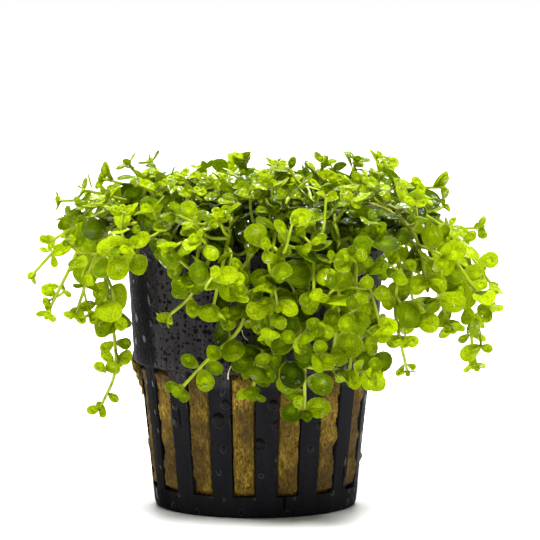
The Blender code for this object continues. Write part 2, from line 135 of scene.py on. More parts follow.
# Each sprig: name, leaf radius, pairs of leaves, and the points that its stem passes, the tip last.
SPRIGS = (
    ("left_sprig_1", 2.0, 4, ((-24, -2, 57), (-31.5, -2.5, 51), (-35.5, -4, 43.5), (-39, -4, 36.5))),
    ("left_sprig_2", 1.8, 3, ((-26, 3.5, 55), (-35, 4, 50.5), (-42.5, 4, 43))),
    ("left_sprig_3", 2.1, 3, ((-22, 6, 55), (-30, 6.5, 57), (-37, 6, 57))),
    ("left_sprig_4", 2.3, 3, ((-20, -3, 54), (-26, -3, 58), (-32, -2, 59.5))),
    ("left_sprig_5", 2.3, 2, ((-17, 9, 54), (-23, 10, 59), (-29, 10, 61))),
    ("left_sprig_6", 2.9, 5, ((-21, -9, 54), (-28.5, -9.5, 51), (-27, -10, 39), (-26, -10, 27),
                             (-29, -8, 19))),
    ("left_sprig_7", 2.3, 3, ((-22, -14, 54), (-28.5, -15, 49.5), (-33, -15, 37.5))),
    ("left_sprig_8", 1.9, 3, ((-22, -8, 57), (-31, -11, 54.5), (-38, -12, 50.5))),
    ("front_sprig_1", 2.4, 2, ((-3, -16, 54), (-9, -23.5, 53), (-15, -28, 48.5))),
    ("front_sprig_2", 2.7, 3, ((-12, -17, 55), (-18.5, -25, 52.5), (-25.5, -25, 49))),
    ("front_sprig_3", 2.4, 3, ((7, -16, 55), (2.5, -25.5, 53), (-2.5, -32, 47))),
    ("front_sprig_4", 1.8, 3, ((-8, -18, 53), (-9, -28.8, 50), (-12, -29.5, 42), (-16, -28, 38))),
    ("front_sprig_5", 2.7, 2, ((-6, -18, 57), (-9.5, -28.5, 53), (-11, -32, 45.5))),
    ("front_sprig_6", 2.5, 5, ((1, -19, 54), (0, -29.5, 50), (-1.5, -29.5, 38), (-7.5, -29, 30.5),
                              (-13.5, -27.5, 25))),
    ("front_sprig_7", 2.8, 3, ((-3, -15, 58), (-5, -29.5, 53), (-7.5, -33, 40))),
    ("front_sprig_8", 2.7, 4, ((5, -18, 54), (4.5, -29, 49.5), (1, -28, 34), (-0.5, -27.5, 24.5))),
    ("front_sprig_9", 2.5, 3, ((6, -16, 59), (4, -31, 53), (3, -36, 36))),
    ("front_sprig_10", 2.9, 5, ((11, -17, 54), (10, -29, 49.5), (9, -30, 34), (9, -28.5, 21.5))),
    ("front_sprig_11", 2.8, 4, ((13, -14, 58), (15, -29, 52), (15, -33, 42), (14, -33, 32))),
    ("front_sprig_12", 2.5, 4, ((16, -15, 53), (18, -25.5, 49.5), (18, -27, 38), (17, -26.5, 27.5))),
    ("front_sprig_13", 2.7, 3, ((17, -13, 59), (20, -24, 54), (20.5, -28.5, 46), (22.5, -28, 37))),
    ("front_sprig_14", 1.6, 1, ((19, -12, 54), (25.5, -17, 49.5), (25.5, -17.5, 38), (28, -15, 27))),
    ("front_sprig_15", 2.8, 3, ((9, -13, 60), (10.5, -28, 56), (10.5, -36, 43))),
    ("right_sprig_1", 2.4, 5, ((24, -3, 54), (34, -3.5, 50), (39.5, -4, 39), (41, -4, 27))),
    ("right_sprig_2", 3.3, 3, ((23, 1, 57), (36, 0.5, 52), (45, 0, 41))),
    ("right_sprig_3", 3.1, 3, ((22, -6, 57), (34, -8.5, 50.5), (43, -9.5, 38))),
    ("right_sprig_4", 2.6, 3, ((22, 5, 58), (34, 6, 54), (43, 6, 45))),
    ("right_sprig_5", 2.1, 3, ((22, 9, 55), (33, 11, 51.5), (43, 11, 51.5))),
    ("right_sprig_6", 2.4, 3, ((18, 6, 56), (27, 7.5, 59), (35.5, 8, 59.5))),
    ("right_sprig_7", 2.9, 3, ((19, -10, 57), (28, -15.5, 53.5), (31.5, -18.5, 44))),
    ("right_sprig_8", 2.8, 4, ((21, -7, 53), (29.5, -9.5, 49), (36, -12.5, 35))),
    ("crown_sprig_1", 2.4, 2, ((-17, 4, 55), (-24, 5, 64))),
    ("crown_sprig_2", 2.5, 2, ((-14, 10, 54), (-20, 13, 64))),
    ("crown_sprig_3", 2.4, 2, ((-11, -4, 54), (-14, -6, 62))),
    ("crown_sprig_4", 2.5, 3, ((-8, 6, 54), (-10, 8, 63))),
    ("crown_sprig_5", 2.3, 3, ((-1, 0, 55), (-2, 0, 65.5))),
    ("crown_sprig_6", 2.4, 3, ((3, 10, 54), (4, 13, 63.5))),
    ("crown_sprig_7", 2.6, 2, ((4, -6, 54), (6, -9, 62))),
    ("crown_sprig_8", 2.4, 3, ((10, 4, 54), (13, 5, 64.5))),
    ("crown_sprig_9", 2.3, 3, ((15, -1, 55), (19, -2, 65))),
    ("crown_sprig_10", 2.5, 2, ((19.5, 1.5, 55), (24.5, 3, 64.5))),
    ("crown_sprig_11", 2.5, 2, ((-6, -11, 55), (-8, -17, 61))),
    ("crown_sprig_12", 2.6, 2, ((11, -9, 54), (15, -14, 61.5))),
    ("back_sprig_1", 2.6, 3, ((17, 14, 57), (27, 21, 53), (31, 24, 40))),
    ("back_sprig_2", 2.6, 3, ((11, 18, 57), (18, 29, 53), (20, 33, 42))),
    ("back_sprig_3", 2.7, 4, ((4, 19, 57), (6, 30, 52), (7, 33, 34))),
    ("back_sprig_4", 2.6, 3, ((-4, 19, 58), (-7, 31, 54), (-9, 36, 43))),
    ("back_sprig_5", 2.7, 3, ((-11, 17, 57), (-18, 27, 53), (-21, 31, 37))),
    ("back_sprig_6", 2.5, 3, ((-18, 13, 57), (-28, 19, 53), (-33, 21, 42))),
    ("back_sprig_7", 2.5, 2, ((-4, 13, 55), (-6, 20, 62))),
    ("back_sprig_8", 2.5, 2, ((11, 12, 55), (15, 19, 62))),
)


def band_radius(z):
    """Outer radius of the pot's plain band at height z: a straight taper from its lower edge to the lip."""
    share = (z - BAND_BOTTOM_Z) / (POT_HEIGHT - BAND_BOTTOM_Z)
    return BAND_BOTTOM_RADIUS + share * (BAND_TOP_RADIUS - BAND_BOTTOM_RADIUS)


def rib_radius(z):
    """Outer radius of the slotted body at height z: a straight taper from the base to the band."""
    return BASE_RADIUS + z / BAND_BOTTOM_Z * (RIB_TOP_RADIUS - BASE_RADIUS)


def unit(vector):
    """The vector, or each row of vectors, divided by its length."""
    vector = np.asarray(vector, float)
    return vector / np.maximum(np.linalg.norm(vector, axis=-1, keepdims=True), 1e-9)


def between(value, start, end):
    """The share of the way from start to end at which a value stands, kept from 0 to 1."""
    return np.clip((value - start) / (end - start), 0, 1)


def at_or_last(values, index):
    """A value of a row by its number, or the last one past its end."""
    return values[min(index, len(values) - 1)]


def smooth_path(points, step=0.5):
    """A Catmull-Rom curve through the points, read again at even steps of arc length.

    Between b and c, with a before and d after them, a point at the share t of the span is half the sum
    of 2b, (c - a) times t, (2a - 5b + 4c - d) times t squared and (3b - a - 3c + d) times t cubed.
    """
    points = np.asarray(points, float)
    ends = np.vstack([2 * points[0] - points[1], points, 2 * points[-1] - points[-2]])
    share = np.linspace(0, 1, 24, endpoint=False)[:, None]
    spans = []
    for a, b, c, d in zip(ends, ends[1:], ends[2:], ends[3:]):
        spans.append(0.5 * (2 * b + (c - a) * share + (2 * a - 5 * b + 4 * c - d) * share ** 2
                            + (3 * b - a - 3 * c + d) * share ** 3))
    dense = np.vstack(spans + [points[-1:]])
    length = np.concatenate([[0], np.cumsum(np.linalg.norm(np.diff(dense, axis=0), axis=1))])
    even = np.linspace(0, length[-1], max(3, int(length[-1] / step) + 1))
    return np.stack([np.interp(even, length, dense[:, axis]) for axis in range(3)], axis=1), even


def clear_of_pot(points, margin):
    """True where no point comes within the margin of the pot's wall, its lip or the rockwool."""
    radius = np.hypot(points[:, 0], points[:, 1])
    z = points[:, 2]
    wall_inside = band_radius(z) - WALL - margin
    wall_outside = np.where(z > POT_HEIGHT - LIP_THICKNESS - margin, LIP_RADIUS, band_radius(z)) + margin
    in_wall = (z < POT_HEIGHT + margin) & (radius > wall_inside) & (radius < wall_outside)
    in_wool = (z < WOOL_TOP_Z + min(margin, TOUCHING_GAP)) & (radius <= wall_inside)
    return not (in_wall | in_wool).any()


def nearest(points, others):
    """The smallest distance between two sets of points."""
    if not len(others):
        return math.inf
    return float(np.sqrt(((points[:, None] - others[None]) ** 2).sum(axis=2)).min())


def at_length(stem, values, place):
    """A value of the stem, given at its even points, read at an arc length."""
    return np.array([np.interp(place, stem["along"], values[:, axis]) for axis in range(3)])


def ring_places(stem):
    """Arc lengths of the solid stem's rings: two at each node, and as many between as its bend needs."""
    end = stem["along"][-1]
    places = {0.0, end}
    for node in stem["nodes"]:
        places.update((node["along"] - NODE_HALF_LENGTH, min(node["along"] + NODE_HALF_LENGTH, end)))
    places = sorted(places)
    index = 0
    while index < len(places) - 1:
        low, high = places[index], places[index + 1]
        inside = (stem["along"] > low) & (stem["along"] < high)
        start, finish = (at_length(stem, stem["path"], value) for value in (low, high))
        share = ((stem["along"][inside] - low) / (high - low))[:, None]
        bulge = np.linalg.norm(stem["path"][inside] - (start + share * (finish - start)), axis=1)
        if high - low > 3.0 and len(bulge) and bulge.max() > BEND_TOLERANCE:
            places.insert(index + 1, (low + high) / 2)
        else:
            index += 1
    return places


def stem_along(name, leaf_radius, pairs, way):
    """A stem through its way points: its curve, its nodes, and the chords between the solid's rings."""
    path, along = smooth_path(way)
    nodes = []
    from_tip = FIRST_NODE
    for pair in range(pairs):
        place = along[-1] - from_tip
        if place < LOWEST_NODE:
            break
        nodes.append({"along": place, "leaves": [None, None], "turn": pair % 2})
        from_tip += at_or_last(INTERNODES, pair)
    stem = {"name": name, "leaf_radius": leaf_radius, "path": path, "along": along, "nodes": nodes}
    places = ring_places(stem)
    rings = np.array([at_length(stem, path, place) for place in places])
    stem["chords"] = np.stack([np.interp(along, places, rings[:, axis]) for axis in range(3)], axis=1)
    return stem


def grow_stems():
    """Every sprig's stem, moved a little more at each try where two would touch."""
    random = np.random.default_rng(STEM_SEED)
    stems = []
    for name, leaf_radius, pairs, way in SPRIGS:
        way = np.asarray(way, float)
        others = np.vstack([other["chords"] for other in stems]) if stems else np.empty((0, 3))
        best = None
        for attempt in range(STEM_TRIES):
            shift = min(1.0, attempt / TRIES_TO_FULL_MOVE)
            root_share = ROOT_SHARE + ROOT_SHARE_MOVE * shift * random.uniform(-1, 1)
            turn = ROOT_TURN_MOVE * shift * random.uniform(-1, 1)
            x, y = way[0, :2] * root_share
            root = np.array([x * math.cos(turn) - y * math.sin(turn),
                             x * math.sin(turn) + y * math.cos(turn), ROOT_Z])
            moved = way + shift * random.uniform(-WAY_MOVE, WAY_MOVE, way.shape) * np.array([1, 1, 0.5])
            moved[-1] = way[-1]
            stem = stem_along(name, leaf_radius, pairs, np.vstack([root, moved]))
            gap = nearest(stem["chords"], others)
            if not clear_of_pot(stem["chords"][stem["along"] > STEM_START], STEM_POT_GAP):
                gap = 0.0
            if best is None or gap > best["gap"]:
                best = {**stem, "gap": gap, "frames": carry_frames(stem["path"])}
            if gap > STEM_GAP:
                break
        stems.append(best)
    return stems


def carry_frames(path):
    """Directions along and across a stem at each step.

    The first cross direction is carried along the stem without twisting: each one is the one before it
    less its part along the stem. The second is the cross product of the other two.
    """
    along = unit(np.gradient(path, axis=0))
    across = np.empty_like(path)
    first = np.array([1.0, 0.0, 0.0]) if abs(along[0, 0]) < 0.9 else np.array([0.0, 1.0, 0.0])
    across[0] = unit(first - along[0] * (first @ along[0]))
    for index in range(1, len(path)):
        across[index] = unit(across[index - 1] - along[index] * (across[index - 1] @ along[index]))
    return along, across, np.cross(along, across)


def step_at(along, place):
    """Number of the even step of a path that lies nearest to an arc length."""
    return min(len(along) - 1, int(round(place / (along[1] - along[0]))))


def turned_axis(frames, index, turn):
    """At a step of a stem, its direction and the cross direction turned about it by an angle."""
    tangent, across, second = (part[index] for part in frames)
    return tangent, math.cos(turn) * across + math.sin(turn) * second


def level_turn(frames, index):
    """The turn at which a stem's cross direction lies across the view from the front."""
    return math.atan2(-frames[1][index][1], frames[2][index][1])


def blade(base, direction, normal, radius):
    """A leaf's place: its disc's centre, its directions outward, sideways and up, and its radius."""
    direction = unit(direction)
    normal = unit(normal - direction * (normal @ direction))
    return {"base": base, "centre": base + direction * (PETIOLE + radius), "direction": direction,
            "side": np.cross(normal, direction), "normal": normal, "radius": radius, "petiole": PETIOLE}


# Test points on a leaf: round its rim, round a ring at this share of its radius, and one at its centre
TEST_POINTS = 16
INNER_RING = 0.55


def disc_points(leaf):
    """Test points on a leaf: its rim, a ring inside it and its centre."""
    angles = np.linspace(0, FULL_TURN, TEST_POINTS, endpoint=False)
    circle = np.cos(angles)[:, None] * leaf["direction"] + np.sin(angles)[:, None] * leaf["side"]
    rings = [leaf["centre"] + leaf["radius"] * share * circle for share in (1.0, INNER_RING)]
    return np.vstack(rings + [leaf["centre"][None]])


def distance_to_discs(points, centres, normals, radii):
    """The smallest distance from any point to any flat disc.

    It is the root of the squared height over the disc's plane plus the squared way from its rim, which
    is the distance from the disc's axis less the radius, and nothing over the disc itself.
    """
    offset = points[:, None] - centres[None]
    height = (offset * normals[None]).sum(axis=2)
    spread = np.sqrt(np.maximum((offset ** 2).sum(axis=2) - height ** 2, 0))
    return float(np.sqrt(height ** 2 + np.maximum(spread - radii[None], 0) ** 2).min())


class Thicket:
    """The leaves and stems placed so far, against which a new leaf or shoot is tested."""

    MOST_LEAVES = 3000

    def __init__(self, stems, leaf_gap=LEAF_GAP, stem_leaf_gap=STEM_LEAF_GAP):
        """Start with the sprigs' stems, no leaf, and the gaps to keep."""
        self.stem_points = np.vstack([stem["chords"] for stem in stems])
        self.stem_owner = np.concatenate([np.full(len(stem["chords"]), i) for i, stem in enumerate(stems)])
        self.stem_along = np.concatenate([stem["along"] for stem in stems])
        self.leaf_gap = leaf_gap
        self.stem_leaf_gap = stem_leaf_gap
        self.count = 0
        self.centres = np.zeros((self.MOST_LEAVES, 3))
        self.normals = np.zeros((self.MOST_LEAVES, 3))
        self.radii = np.zeros(self.MOST_LEAVES)
        self.samples = np.zeros((self.MOST_LEAVES, 2 * TEST_POINTS + 1, 3))

    def near(self, point, reach):
        """Numbers of the leaves within reach of a point."""
        away = np.linalg.norm(self.centres[:self.count] - point, axis=1)
        return np.nonzero(away < self.radii[:self.count] + reach)[0]

    def is_clear(self, leaf, owner, node_along):
        """Whether a leaf keeps its gap to the pot, to every other leaf and to every stem.

        The part of its own stem that is close to its node doesn't count.
        """
        samples = disc_points(leaf)
        if not clear_of_pot(samples, LEAF_POT_GAP):
            return False
        own = np.abs(self.stem_along - node_along) < leaf["radius"] * 0.7 + 0.8
        own &= self.stem_owner == owner
        place = (leaf["centre"][None], leaf["normal"][None], np.array([leaf["radius"]]))
        if distance_to_discs(self.stem_points[~own], *place) < self.stem_leaf_gap:
            return False
        near = self.near(leaf["centre"], leaf["radius"] + self.leaf_gap)
        if not len(near):
            return True
        others = (self.centres[near], self.normals[near], self.radii[near])
        if distance_to_discs(samples, *others) < self.leaf_gap:
            return False
        return distance_to_discs(self.samples[near].reshape(-1, 3), *place) >= self.leaf_gap

    def add(self, leaf):
        """Keep a leaf as placed."""
        here = self.count
        self.centres[here] = leaf["centre"]
        self.normals[here] = leaf["normal"]
        self.radii[here] = leaf["radius"]
        self.samples[here] = disc_points(leaf)
        self.count += 1

    def is_free(self, path, along):
        """Whether a shoot's stem finds a way between leaves and stems, its start apart.

        The gap that it needs to other stems grows with its length, from a quarter of a millimetre on.
        """
        far = along > SHOOT_START
        offset = self.stem_points[:, None] - path[far][None]
        distance = np.sqrt((offset ** 2).sum(axis=2)).min(axis=0)
        if (distance < np.minimum(SHOOT_STEM_GAP, 0.25 + 0.5 * along[far])).any():
            return False
        near = self.near(path[len(path) // 2], along[-1] / 2 + 1.0)
        others = (self.centres[near], self.normals[near], self.radii[near])
        return not len(near) or distance_to_discs(path[far], *others) > SHOOT_LEAF_GAP

    def add_stem(self, path, along, tag):
        """Let later leaves keep clear of a new shoot."""
        self.stem_points = np.vstack([self.stem_points, path])
        self.stem_owner = np.concatenate([self.stem_owner, np.full(len(path), tag)])
        self.stem_along = np.concatenate([self.stem_along, along])


def wanted_normal(point, random):
    """Up and outward, as leaves turn to the light: more upward on the crown, more outward below the rim.

    The share of the way up grows with height from a quarter to one, the outward share falls from one to
    a half, the front's leaves lean to the viewer, and each leaf has its own chance turn.
    """
    outward = np.array([point[0], point[1], 0.0])
    outward = outward / max(np.linalg.norm(outward), 12.0)
    height = between(point[2], 38.0, 60.0)
    viewer = np.array([0.0, -0.35, 0.0]) * (point[1] < 8)
    return unit((0.25 + 0.75 * height) * np.array([0, 0, 1.0]) + (1.0 - 0.5 * height) * outward
                + viewer + 0.3 * random.normal(size=3))


def grow_leaves(stems):
    """Pairs of leaves at each stem's nodes, smallest at its tip; without a free place one is left out."""
    random = np.random.default_rng(LEAF_SEED)
    thicket = Thicket(stems)
    for order in range(max(len(stem["nodes"]) for stem in stems)):
        for owner, stem in enumerate(stems):
            if order >= len(stem["nodes"]):
                continue
            node = stem["nodes"][order]
            index = step_at(stem["along"], node["along"])
            point = stem["path"][index]
            tangent, across, second = (part[index] for part in stem["frames"])
            axis = across if node["turn"] else second
            grown = at_or_last(LEAF_GROWTH, order)
            for side, sign in enumerate((1.0, -1.0)):
                aim = wanted_normal(point, random)
                for attempt in range(LEAF_TRIES):
                    lean = math.radians(random.uniform(*(LEAF_LEAN if order else TIP_LEAF_LEAN)))
                    direction = math.cos(lean) * sign * axis + math.sin(lean) * tangent
                    size = stem["leaf_radius"] * grown * (random.uniform(0.88, 1.12) - 0.025 * attempt)
                    normal = aim + 0.06 * attempt * random.normal(size=3)
                    leaf = blade(point + sign * axis * STEM_HALF_WIDTH, direction, normal, size)
                    if thicket.is_clear(leaf, owner, node["along"]):
                        thicket.add(leaf)
                        node["leaves"][side] = leaf
                        break


def crown_limit(point):
    """How high foliage may reach over a place: a low dome, falling with the squared way from its middle.

    A round shoulder rises at both sides, and the dome leans down a little to the back.
    """
    aside = point[0] - 1.5
    shoulder = 1.5 * math.exp(-((abs(aside) - 22.0) / 5.0) ** 2)
    return 65.2 - 0.0057 * (aside ** 2 + 0.8 * point[1] ** 2) - 0.06 * point[1] + shoulder


# How far the foliage reaches to the left and right at some heights
REACH_HEIGHTS = (15, 27, 33, 35, 37, 44, 46, 50, 57, 60, 63, 66)
LEFT_REACH = (31, 29.5, 30, 33, 39, 42, 38, 38.5, 36, 32, 25, 20)
RIGHT_REACH = (36, 42, 43, 45, 46.5, 44.5, 43, 41, 37, 36, 28, 25)


def inside_reach(points):
    """Whether points stay between the left and the right outline of the foliage."""
    left = np.interp(points[:, 2], REACH_HEIGHTS, LEFT_REACH)
    right = np.interp(points[:, 2], REACH_HEIGHTS, RIGHT_REACH)
    return bool(((points[:, 0] > -left) & (points[:, 0] < right)).all())


# Places as boxes, each from one corner to the other in x, y and z, where FAR reaches past the whole plant:
# the open place in front of the pot's band at the left, the two airy gaps between the hanging clusters, and
# the nearly bare stem at the right of the pot. Then the sides down low, and where twigs hang singly there
FAR = 100.0
BARE_PLACE = (((-24.0, -FAR, 22.0), (-15.0, -14.0, 46.0)), ((-15.0, -FAR, 22.0), (-7.5, -14.0, 43.5)))
GAPS = (((-37.5, -FAR, 30.0), (-31.0, FAR, 44.5)), ((29.0, -FAR, -FAR), (39.0, FAR, 35.5)))
BARE_STEM = (((23.5, -26.0, -FAR), (34.0, -8.0, 31.5)),)
FREE_PLACES = BARE_PLACE + GAPS + BARE_STEM
LOW_SIDES = (((-FAR, -FAR, -FAR), (-20.0, FAR, 34.5)), ((33.0, -FAR, -FAR), (FAR, FAR, 34.5)))
SINGLE_TWIGS = (((-FAR, -FAR, -FAR), (-20.0, FAR, 27.0)), ((-FAR, -FAR, -FAR), (-30.5, FAR, 35.0)),
                ((25.0, -FAR, -FAR), (FAR, FAR, 33.0)))


def in_boxes(point, boxes):
    """Whether a point is inside one of the boxes."""
    return any(all(low < value < high for low, value, high in zip(start, point, end))
               for start, end in boxes)


def turn_to_viewer(point):
    """How far leaves at a point turn to the front: fully on the hanging sides, not at all on the crown."""
    return float(between(point[2], 54.0, 46.0)) * (point[1] < 6)


# Stems that stand bare in front: the two ends of each stretch that no finer leaf may cover
BARE_STRETCHES = (
    ((18.3, -29.2, 47.2), (21.9, -28.7, 39.6)),
    ((28.8, -16.0, 54.0), (30.3, -18.0, 48.2)),
    ((4.6, -22.0, 52.2), (-1.4, -31.0, 47.8)),
)
BARE_MARGIN = 0.9


def covers_bare_stretch(leaf):
    """Whether a leaf, seen from the front, lies over a bare stretch of stem."""
    share = np.linspace(0, 1, 9)[:, None]
    ends = np.array(BARE_STRETCHES)
    stretches = (ends[:, :1] + share * (ends[:, 1:] - ends[:, :1])).reshape(-1, 3)
    offset = disc_points(leaf)[:, None] - stretches[None]
    over = np.hypot(offset[..., 0], offset[..., 2]) < BARE_MARGIN
    return bool((over & (offset[..., 1] < 0.5)).any())


# Side shoots, listed one by one: the sprig, the leaf radius, and the points that the shoot passes, its tip
# last
SIDE_SHOOTS = (
    ("front_sprig_14", 2.7, ((25.5, -17, 46.5), (28.5, -17, 42), (29.5, -16.5, 36.5))),
    ("right_sprig_8", 2.7, ((29.5, -10, 48.5), (32, -13, 44), (33, -13.5, 38))),
    ("front_sprig_14", 2.2, ((25.5, -17.5, 41), (27.5, -20, 37.5), (27.5, -20.5, 33.5))),
    ("left_sprig_6", 2.6, ((-27.5, -9.5, 45), (-25.8, -13.5, 41), (-25.5, -14, 36.5))),
    ("left_sprig_6", 2.4, ((-28.4, -9.5, 49), (-30.5, -13, 44), (-30, -13.5, 38.5))),
    ("front_sprig_3", 1.7, ((4.5, -20, 53.5), (7.5, -29, 54), (10, -36.5, 52))),
    ("front_sprig_7", 2.3, ((-5.0, -31.5, 51), (-4.2, -34, 50), (-4.8, -36, 46.5))),
    ("front_sprig_9", 2.5, ((3.3, -31.5, 51.5), (2.2, -34.5, 50.5), (2.8, -36.5, 46.5))),
    ("front_sprig_9", 2.2, ((3.2, -33.5, 46), (4.6, -36, 44), (4.2, -36.5, 40.5))),
)

# The finer growth: its gaps and its smallest leaf
FINE_LEAF_GAP = 0.42
FINE_STEM_GAP = 0.6
SMALLEST_LEAF = 1.05

# What a solid leaf keeps of its size: everywhere, less where it lies flat, and then less by its place:
# just under the bare place, low at the sides, and past the outline or in a gap
SOLID_SHARE = (0.8, 0.98)
FLAT_LOSS = 0.1
UNDER_BARE_PLACE = 6.0
UNDER_BARE_SHARE = 0.8
LOW_SIDE_SHARE = 0.55
OUTLYING_SHARE = 0.6

# A rosette: its size beside the sprig's leaves, its stalks, and each pair's turn, size and rise
ROSETTE_SIZE = 0.5
ROSETTE_PETIOLE = 0.15
ROSETTE_PAIRS = ((0.0, 1.0, 0.42), (math.pi / 2, 0.72, 0.75))

# The pair just under a tip on the crown: its size beside the sprig's leaves, and how far down it is
TIP_PAIR_SIZE = 0.72
TIP_PAIR_BELOW = 1.5
CROWN_TIP_Z = 58.0

# Pairs between the solid ones: their size from the tip down, their lean in degrees, and their spacing
PAIR_GROWTH = (0.85, 0.95, 1.0, 1.0, 1.05)
PAIR_LEAN = (5, 45)
PAIR_TRIES = 9
LOW_PAIR_STEP = 4.6
LOWEST_PAIR = 5.0
SINGLE_TWIG_SIZE = 0.5

# Side shoots: their stem's radii, and the spacing, size and lean of their pairs from the tip down
SHOOT_STEM = (0.34, 0.24)
SHOOT_INTERNODES = (3.0, 3.8, 4.3, 4.6)
SHOOT_GROWTH = (0.8, 0.95, 1.0, 1.0)
SHOOT_LEAN = (10, 50)
SHOOT_LEAF_TRIES = 7
SHOOT_FIRST_NODE = 0.7
SHOOT_LOWEST_NODE = 1.4
SHOOT_LENGTH = (4.0, 9.5)
SET_SHOOT_TRIES = 40
SHOOT_TRIES = 3
FIRST_SHOOT_TAG = 1001

# Where the plant's thin sides begin, and the rounds from one shoot to the next there
LEFT_SIDE_X = -25.0
RIGHT_SIDE_X = 27.0
LEFT_EVERY = 4
RIGHT_EVERY = 3


class Growth:
    """Adds the finer leaves and side shoots to the stems, all but the rosettes tested for a free place."""

    def __init__(self, stems, box, stem_radii):
        """Start from the stems and their solid leaves, inside the solid model's box."""
        self.stems = stems
        self.low, self.high = (np.array(corner) / MM for corner in box)
        self.random = np.random.default_rng(FINE_SEED)
        self.thicket = Thicket(stems, FINE_LEAF_GAP, FINE_STEM_GAP)
        self.tubes = [[stem_tube(stem["path"], *stem_radii)] for stem in stems]
        self.leaves = [[] for _ in stems]
        self.shoots = 0
        for owner, stem in enumerate(stems):
            for node in stem["nodes"]:
                for leaf in node["leaves"]:
                    if leaf is not None:
                        self.keep(owner, self.turned_up(leaf, owner, node["along"]))

    def keep(self, owner, leaf):
        """Add a leaf to its sprig."""
        self.thicket.add(leaf)
        self.leaves[owner].append(leaf)

    def in_box(self, points):
        """Whether all points are inside the solid model's box."""
        return (points > self.low).all() and (points < self.high).all()

    def turned_up(self, leaf, owner, along):
        """A solid leaf a little smaller, laid flatter on the crown, turned to the front where it hangs.

        It is turned less at each try until its place is free, and in the end not at all.
        """
        share = 0.9 * between(leaf["centre"][2], 52.0, 60.0)
        front = 1.3 * turn_to_viewer(leaf["centre"])
        size = leaf["radius"] * (self.random.uniform(*SOLID_SHARE) - FLAT_LOSS * share)
        if in_boxes(leaf["centre"] + np.array([0, 0, UNDER_BARE_PLACE]), BARE_PLACE):
            size *= UNDER_BARE_SHARE
        if in_boxes(leaf["centre"], LOW_SIDES):
            size *= LOW_SIDE_SHARE
        elif not inside_reach(disc_points(leaf)) or in_boxes(leaf["centre"], GAPS):
            size *= OUTLYING_SHARE
        for part in (1.0, 0.6, 0.3):
            turned = blade(leaf["base"], leaf["direction"] * np.array([1, 1, 1 - 0.85 * part * share]),
                           leaf["normal"] + part * np.array([0, -front, 1.5 * share]), size)
            if self.thicket.is_clear(turned, owner, along):
                break
        else:
            turned = blade(leaf["base"], leaf["direction"], leaf["normal"], size)
        turned["petiole"] = min(PETIOLE, 0.55 * size)
        return turned

    def fits(self, leaf):
        """Whether a leaf stays in the solid model's box, under the dome and out of the bare places."""
        rim = disc_points(leaf)
        inside = self.in_box(rim) and inside_reach(rim) and rim[:, 2].max() < crown_limit(leaf["centre"])
        return inside and not in_boxes(leaf["centre"], FREE_PLACES) and not covers_bare_stretch(leaf)

    def aim(self, point):
        """The way that a leaf at a point turns its face."""
        height = between(point[2], 50.0, 58.0)
        aside = turn_to_viewer(point) * between(abs(point[0]), 12.0, 22.0)
        return unit(wanted_normal(point, self.random) + np.array([0, -1.1 * aside, 1.3 * height]))

    def add_pair(self, owner, tag, point, way, size, lean, place, tries):
        """Two leaves at opposite sides, each where it is clear: turned and shrunk a little at each try.

        The lean is the range of degrees by which a leaf leaves its cross direction towards the tip.
        """
        random = self.random
        tangent, cross = way
        for axis in (cross, -cross):
            aim = self.aim(point)
            for attempt in range(tries):
                angle = math.radians(random.uniform(*lean))
                direction = (math.cos(angle) * axis + math.sin(angle) * tangent
                             + 0.05 * attempt * random.normal(size=3))
                radius = size * (random.uniform(0.82, 1.12) - 0.05 * attempt)
                normal = aim + 0.1 * attempt * random.normal(size=3)
                leaf = blade(point + axis * 0.3, direction, normal, radius)
                if radius < SMALLEST_LEAF:
                    break
                if self.fits(leaf) and self.thicket.is_clear(leaf, tag, place):
                    self.keep(owner, leaf)
                    break

    def rosette(self, owner, path, frames, size, pairs=2):
        """The tiny leaves that close a tip, its wider pair across the view; only the box limits them."""
        spread = level_turn(frames, -1) + self.random.uniform(-0.5, 0.5)
        for turn, share, rise in ROSETTE_PAIRS[:pairs]:
            tangent, cross = turned_axis(frames, -1, spread + turn)
            for axis in (cross, -cross):
                normal = tangent - 0.3 * axis + 0.45 * self.random.normal(size=3) - np.array([0, 0.7, 0])
                leaf = blade(path[-1] + axis * 0.15, 0.85 * axis + rise * tangent, normal, size * share)
                leaf["petiole"] = ROSETTE_PETIOLE
                if self.in_box(disc_points(leaf)):
                    self.leaves[owner].append(leaf)

    def tip_pair(self, owner, path, along, frames, size):
        """A tight pair of small leaves just under a tip that stands on the crown."""
        index = int(np.argmin(np.abs(along - (along[-1] - TIP_PAIR_BELOW))))
        spread = level_turn(frames, index) + self.random.uniform(-0.6, 0.6)
        tangent, cross = turned_axis(frames, index, spread)
        for axis in (cross, -cross):
            normal = tangent - 0.5 * axis + 0.3 * self.random.normal(size=3) - np.array([0, 0.8, 0])
            leaf = blade(path[index] + axis * 0.3, 0.8 * axis + 0.6 * tangent, normal, size)
            if self.thicket.is_clear(leaf, owner, along[index]):
                self.keep(owner, leaf)

